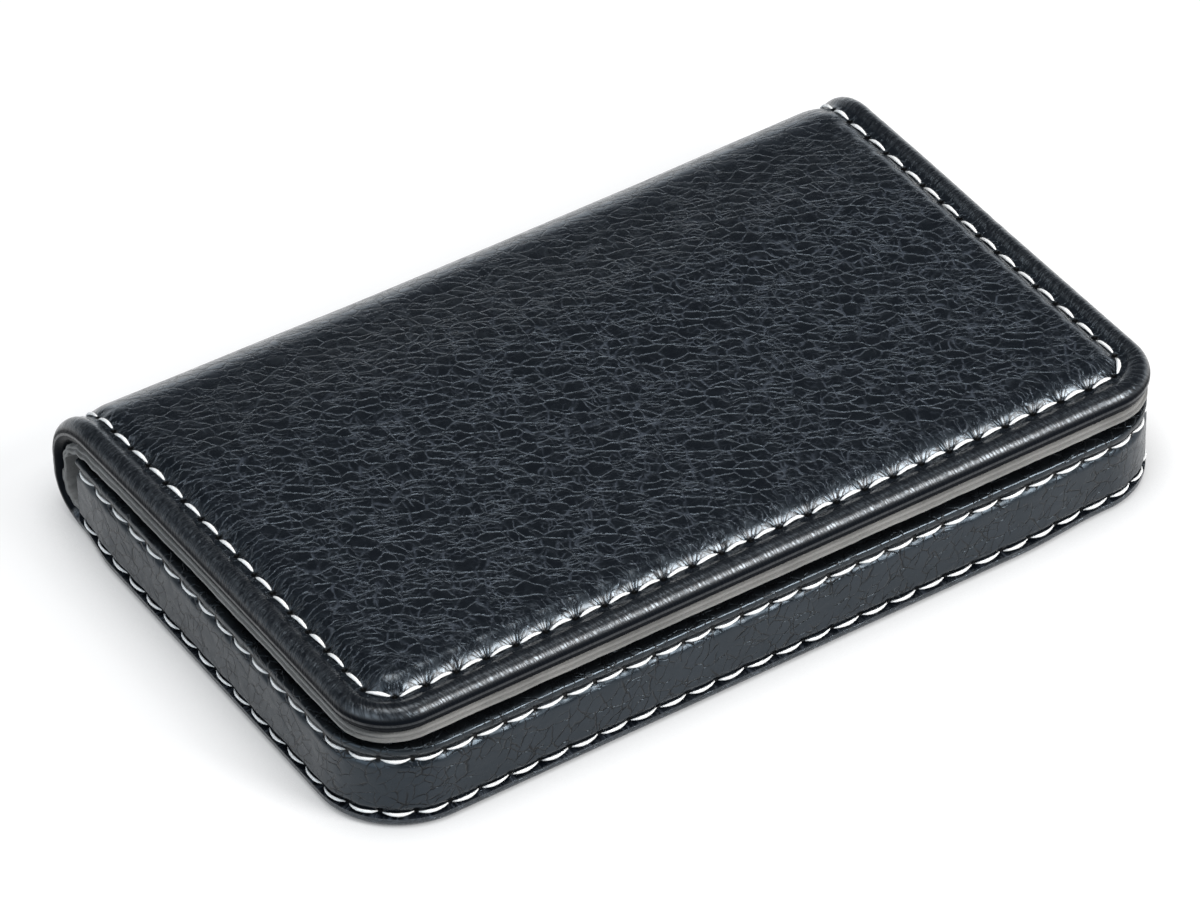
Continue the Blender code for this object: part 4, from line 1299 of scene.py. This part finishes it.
def buildRearWall():
    # A rounded section moved along X. Near each end it narrows as a quarter circle.
    low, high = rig.box("back_wall_leather")
    bend, middle = (high.y - low.y) / 2, (high.y + low.y) / 2
    turn = np.linspace(0, np.pi, 25)
    y = np.concatenate([np.full(9, -1.0), -np.cos(turn)[1:-1], np.full(9, 1.0)])
    side = np.linspace(low.z, high.z - rearWall["top"], 9)
    z = np.concatenate([side, high.z - rearWall["top"] * (1 - np.sin(turn)[1:-1]), side[::-1]])
    end = rearWall["end"]
    inside = high.x - low.x - 2 * end
    rounding = np.sin(np.linspace(0, np.pi / 2, 9)) * end
    between = np.linspace(0, inside, rearWall["columns"])[1:-1]
    way = np.concatenate([-rounding[::-1], between, inside + rounding])
    past = np.maximum(-way, way - inside) / end
    narrow = np.sqrt(1 - np.clip(past, 0, 0.999) ** 2)
    x = low.x + end + way
    wave = rearWall["wave"] * roughness2d(x[None, :] / 0.006, z[:, None] / 0.004, 61)
    points = np.stack([np.broadcast_to(x, wave.shape),
                       middle + (y[:, None] * (bend - 0.00006) + wave) * narrow,
                       z[:, None] - (z[:, None] > low.z + 0.001) * (1 - narrow) * 0.0006], -1)
    rows, columns = wave.shape
    index = np.arange(rows * columns).reshape(rows, columns)
    faces = gridFaces(rows, columns, 0) + [index[:, 0].tolist(), index[:, -1].tolist(),
                                           index[0].tolist() + index[-1, ::-1].tolist()]
    gone = pathLength(np.stack([y * bend, z], -1))
    sheet = np.stack(np.broadcast_arrays(x[None, :], gone[:, None]), -1) * 100
    maps = {"sheet": sheet, "row": np.full(sheet.shape, noRow)}
    piece = makePiece("rear_wall", points, faces, bandLeather, "black_leather", maps)
    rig.replaces(piece, "back_wall_leather")
    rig.ride(piece, "tray")


buildRearWall()


# Suede floor of the bay

floorLook = {"corner": 0.00595, "edgeRound": 0.00030, "wave": 0.00006}


def buildBayFloor():
    # A sheet with a soft edge, swelling slightly between the places where it is glued.
    low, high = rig.box("tray_lining")
    steps = {"side": 22, "turn": 5, "front": 44}
    runs = np.linspace(high.y - low.y, floorLook["corner"], 4 * steps["side"] + 1)
    centres, outward = outline(runs, np.full(len(runs), high.x), floorLook["corner"], steps)
    soft, thick = floorLook["edgeRound"], high.z - low.z
    turn = np.linspace(0, np.pi / 2, 5)
    inward = np.concatenate([[0, 0, 0], soft * (1 - np.cos(turn)), [0.0008, 0.002, 0.004]])
    depth = np.concatenate([[thick, thick / 2, soft], soft * (1 - np.sin(turn)), [0, 0, 0]])

    def wave(across, run):
        return floorLook["wave"] * (roughness2d(across / 0.013 + 40, run / 0.011, 71) - 1) * 0.5

    def place(across, run, lift):
        return np.stack([across, low.y + run, high.z + lift + 0 * across], -1)

    insets = inward[:, None] * np.ones(len(centres))
    places = centres + (floorLook["corner"] - insets)[..., None] * outward
    lifts = -depth[:, None] + wave(places[..., 0], places[..., 1]) * ease((inward - soft) / 0.002)[:, None]
    piece = panelPiece("bay_floor", (centres, outward), steps, floorLook["corner"], (insets, insets, lifts),
                       wave, place, suede, "grey_lining")
    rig.replaces(piece, "tray_lining")
    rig.ride(piece, "tray")


buildBayFloor()


# Pocket inside the lid: a thin panel with a thumb notch, sewn on three sides

pocket = {
    "corner": 0.003,
    "notch": 0.009,
    "notchEase": 0.0016,
    "edgeRound": 0.00022,
    "seamInset": 0.0019,
    "seamDepth": 0.00012,
    "seamWidth": 0.00022,
    "seamEnd": 0.008,         # how far behind the open front edge the stitches start
    "openEdge": 0.45,         # how far the rings reach in along the open front edge
    "seamPitch": 0.0027,
    "gap": 0.0004,            # between two points of the outline
}


def spaced(corners, gap):
    # the same closed outline with points an even gap apart
    loop = np.concatenate([corners, corners[:1]])
    gone = pathLength(loop)
    way = np.linspace(0, gone[-1], round(gone[-1] / gap), endpoint=False)
    return np.stack([np.interp(way, gone, loop[:, k]) for k in range(2)], -1)


def buildPocket():
    # The outline is a rounded rectangle less a half circle, whose corners are eased, and
    # each ring lies a little further in along the outline's own normals.
    low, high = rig.box("lid_pocket")
    half, front, rear = high.x, low.y, high.y
    r, n, e = pocket["corner"], pocket["notch"], pocket["notchEase"]
    quarter = np.linspace(0, np.pi / 2, 13)
    rise = np.sqrt((n + e) ** 2 - e ** 2)
    lean = math.atan2(rise, e)
    arcs = [
        (half - r, rear - r, r, quarter),
        (r - half, rear - r, r, quarter + np.pi / 2),
        (r - half, front + r, r, quarter + np.pi),
        (-rise, front + e, e, np.linspace(-np.pi / 2, lean - np.pi / 2, 9)),
        (0, front, n, np.linspace(np.pi - math.asin(e / (n + e)), math.asin(e / (n + e)), 41)),
        (rise, front + e, e, np.linspace(1.5 * np.pi - lean, 1.5 * np.pi, 9)),
        (half - r, front + r, r, quarter + 1.5 * np.pi),
    ]
    corners = np.concatenate([np.stack([x + k * np.cos(a), y + k * np.sin(a)], -1)
                              for x, y, k, a in arcs])
    shifted = np.roll(corners, -1, 0)
    corners = corners[np.linalg.norm(shifted - corners, axis=1) > 1e-6]
    corners = spaced(corners, pocket["gap"])
    ahead = np.roll(corners, -1, 0) - np.roll(corners, 1, 0)
    outward = np.stack([ahead[:, 1], -ahead[:, 0]], -1) / np.linalg.norm(ahead, axis=1)[:, None]

    soft, thick = pocket["edgeRound"], high.z - low.z
    turn = np.linspace(0, np.pi / 2, 5)
    seam = pocket["seamInset"]
    beside = (np.abs(corners[:, 0]) > n + 2 * e) | (corners[:, 1] > front + n + 0.003)
    sewn = ease((corners[:, 1] - front - 0.006) / 0.004) * beside
    inward = np.concatenate([[0.0006, soft], soft * (1 - np.sin(turn)), soft * (1 - np.cos(turn))[1:],
                             seam + np.arange(-4, 5) * 0.00012, [seam + 0.0009]])
    height = np.concatenate([[0, 0], soft * (1 - np.cos(turn)), thick - soft * (1 - np.sin(turn)[1:]),
                             np.full(10, thick)])
    sink = pocket["seamDepth"] * np.exp(-((inward - seam) / pocket["seamWidth"]) ** 2) * (inward > 2 * soft)
    narrow = pocket["openEdge"] + (1 - pocket["openEdge"]) * sewn
    reach = np.where(inward[:, None] > 2 * soft, inward[:, None] * narrow, inward[:, None])
    places = corners - reach[..., None] * outward
    z = high.z - height[:, None] + sink[:, None] * sewn
    points = np.concatenate([places, np.broadcast_to(z[..., None], places.shape[:2] + (1,))], -1)
    piece = makePiece("pocket_panel", points, tubeFaces(*points.shape[:2]), smoothLeather, "black_panel")
    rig.replaces(piece, "lid_pocket")
    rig.ride(piece, "lid")

    held = (corners[:, 1] > front + pocket["seamEnd"]) & beside
    start = np.argmax(held & ~np.roll(held, 1))
    order = np.roll(np.arange(len(corners)), -start)
    order = order[held[order]]
    line = np.concatenate([places[-6][order], np.full((len(order), 1), low.z)], 1)
    gone = pathLength(line)
    count = round(gone[-1] / pocket["seamPitch"])
    down = np.broadcast_to(np.array([0.0, 0.0, -1.0]), line.shape)
    yarn = stitchRow("pocket_stitches", line, down, gone, gone[-1] / count, np.arange(count),
                     pocketStitch, blackThread)
    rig.ride(yarn, "lid")


buildPocket()
print("bay and pocket ready")


# The two boards beside the upper fold end where the sheet starts to bend

board = {"corner": 0.0012, "edge": 0.00014, "lidClear": 0.0006, "spineClear": 0.0004}


def buildBoard(name, low, high, order, node, body):
    # A slab with rounded corners. Its rings follow the outline and draw in by
    # edge (1 - cos t) where they turn over to the two faces. order names the slab's long
    # axis, its short one and the one across its faces.
    centre, half = (low + high) / 2, (high - low) / 2
    angle = np.concatenate([np.linspace(0, np.pi / 2, 7) + k * np.pi / 2 for k in range(4)])
    signs = np.repeat([[1, 1], [-1, 1], [-1, -1], [1, -1]], 7, axis=0)
    turn = np.concatenate([np.linspace(-np.pi / 2, 0, 5), np.linspace(0, np.pi / 2, 5)])
    inset = board["edge"] * (1 - np.cos(turn))
    side = np.repeat([-1, 1], 5)
    rise = board["edge"] * np.sin(turn) + (half[order[2]] - board["edge"]) * side
    points = np.empty((len(turn), len(angle), 3))
    for k, bow in enumerate((np.cos(angle), np.sin(angle))):
        flat = signs[:, k] * (half[order[k]] - board["corner"])
        points[..., order[k]] = centre[order[k]] + flat + (board["corner"] - inset[:, None]) * bow
    points[..., order[2]] = centre[order[2]] + rise[:, None]
    piece = makePiece(name, points, tubeFaces(*points.shape[:2]), hiddenFinishes["board_grey"], "board")
    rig.replaces(piece, node)
    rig.ride(piece, body)


boardLow, boardHigh = (np.array(corner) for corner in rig.box("lid_board"))
boardHigh[1] = back - cover["upperFold"] - board["lidClear"]
buildBoard("lid_stiffening", boardLow, boardHigh, (0, 1, 2), "lid_board", "lid")
boardLow, boardHigh = (np.array(corner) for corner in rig.box("spine_stiffener"))
boardHigh[2] = coverTop - cover["upperFold"] - board["spineClear"]
buildBoard("spine_stiffening", boardLow, boardHigh, (0, 2, 1), "spine_stiffener", "spine")


# The other pieces inside keep their CAD shape and get a finish

inside = {
    "base_board": "board_grey", "back_wall_board": "board_grey", "tray_frame": "frame_plastic",
    "tray_magnet_left": "magnet", "tray_magnet_right": "magnet",
    "lid_plate_left": "steel", "lid_plate_right": "steel",
}
for node, finish in inside.items():
    slots = frame["nodes"][node].data.materials
    slots.clear()
    slots.append(hiddenFinishes[finish])


# Light, floor and camera

stageLook = {
    "azimuth": 31.62, "elevation": 39.97, "roll": -1.96,   # degrees
    "eye": (-0.3078, -0.4969, 0.4953),
    "lens": 208.8,
    "lamps": (
        {"name": "top_softbox", "way": (-0.03, -0.06, 1.0), "far": 0.60,
         "size": (0.30, 0.28), "power": 1.7},
        {"name": "front_softbox", "way": (0.40, -0.74, 0.53), "far": 0.70,
         "size": (0.24, 0.32), "power": 6.0},
    ),
    # three strengths, and the heights between which the low one fades
    "sky": {"low": 1.5, "middle": 0.10, "side": 2.5, "heights": (0.04, 0.30)},
    "skyColor": (0.84, 0.92, 1.0),
    "floorColor": (0.34, 0.34, 0.34), "floorLift": 0.68, "floorClose": 0.008,
}


def buildFloor(look):
    # Level plane under the case. Seen by the camera and in reflections it is lifted towards white, less so where the
    # case closes it in: ambient occlusion paints a contact shadow into that glow.
    bpy.ops.mesh.primitive_plane_add(size=4, location=(0, 0, -0.0001))
    floor = bpy.context.object
    floor.name = "floor"
    material, tree, shader = startMaterial("pale_floor")
    rays = addNode(tree, "LightPath").outputs
    seen = largest(Field(rays["Is Camera Ray"]), Field(rays["Is Glossy Ray"]))
    # Painted contact shadow: ambient occlusion takes the glow down near the case.
    free = field(tree, "AmbientOcclusion", {"samples": 4}, "AO", Distance=look["floorClose"])
    feed(shader, {"Base Color": look["floorColor"], "Roughness": 0.9, "Specular IOR Level": 0.1,
                  "Emission Color": (1, 1, 1), "Emission Strength": seen * free * look["floorLift"]})
    floor.data.materials.append(material)
    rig.stage(floor)


def buildWorld(look):
    # Dim, brighter low down behind the object, as before a white wall, and brighter at
    # the left. The camera sees white.
    world = bpy.data.worlds.new("studio")
    world.use_nodes = True
    tree = world.node_tree
    seen = Field(addNode(tree, "LightPath").outputs["Is Camera Ray"])
    x, y, z = axes(field(tree, "TexCoord", output="Generated"))
    sky = look["sky"]
    behind = remap(z, *sky["heights"], 1.0, 0.0) * remap(y + x, -0.3, 0.7)
    left = remap(x, -0.9, -0.3, 1.0, 0.0) * remap(y, 0.1, 0.5, 1.0, 0.0) * remap(z, 0.0, 0.1)
    strength = blendValue(behind, sky["middle"], sky["low"]) + left * sky["side"]
    feed(tree.nodes["Background"], {"Color": blendColor(seen, look["skyColor"], (1, 1, 1)),
                                    "Strength": blendValue(seen, strength, 1.0)})
    bpy.context.scene.world = world


def buildLamp(look):
    way = Vector(look["way"]).normalized()
    data = bpy.data.lights.new(look["name"], "AREA")
    data.shape = "RECTANGLE"
    data.size, data.size_y = look["size"]
    data.energy = look["power"]
    lamp = bpy.data.objects.new(look["name"], data)
    lamp.location = way * look["far"]
    lamp.rotation_euler = way.to_track_quat("Z", "Y").to_euler()
    bpy.context.scene.collection.objects.link(lamp)


def buildCamera(look):
    turn, tilt, roll = (math.radians(look[key]) for key in ("azimuth", "elevation", "roll"))
    forward = Vector((math.sin(turn) * math.cos(tilt), math.cos(turn) * math.cos(tilt), -math.sin(tilt)))
    level = forward.cross(Vector((0, 0, 1))).normalized()
    upright = level.cross(forward)
    right = level * math.cos(roll) + upright * math.sin(roll)
    up = upright * math.cos(roll) - level * math.sin(roll)
    data = bpy.data.cameras.new("camera")
    data.lens, data.sensor_width, data.sensor_fit = look["lens"], 36, "HORIZONTAL"
    data.clip_start = 0.05
    camera = bpy.data.objects.new("camera", data)
    camera.matrix_world = Matrix((right, up, -forward)).transposed().to_4x4()
    camera.location = look["eye"]
    bpy.context.scene.collection.objects.link(camera)
    bpy.context.scene.camera = camera


buildFloor(stageLook)
buildWorld(stageLook)
for lamp in stageLook["lamps"]:
    buildLamp(lamp)
buildCamera(stageLook)
bpy.context.scene.view_settings.view_transform = "Standard"

visualBox = [list(corner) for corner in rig.bounds()]
with open("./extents.json", "w") as file:
    json.dump({"cad": cadBox, "visual": visualBox}, file)
print("visual box in mm:", [[round(v * 1000, 2) for v in corner] for corner in visualBox])
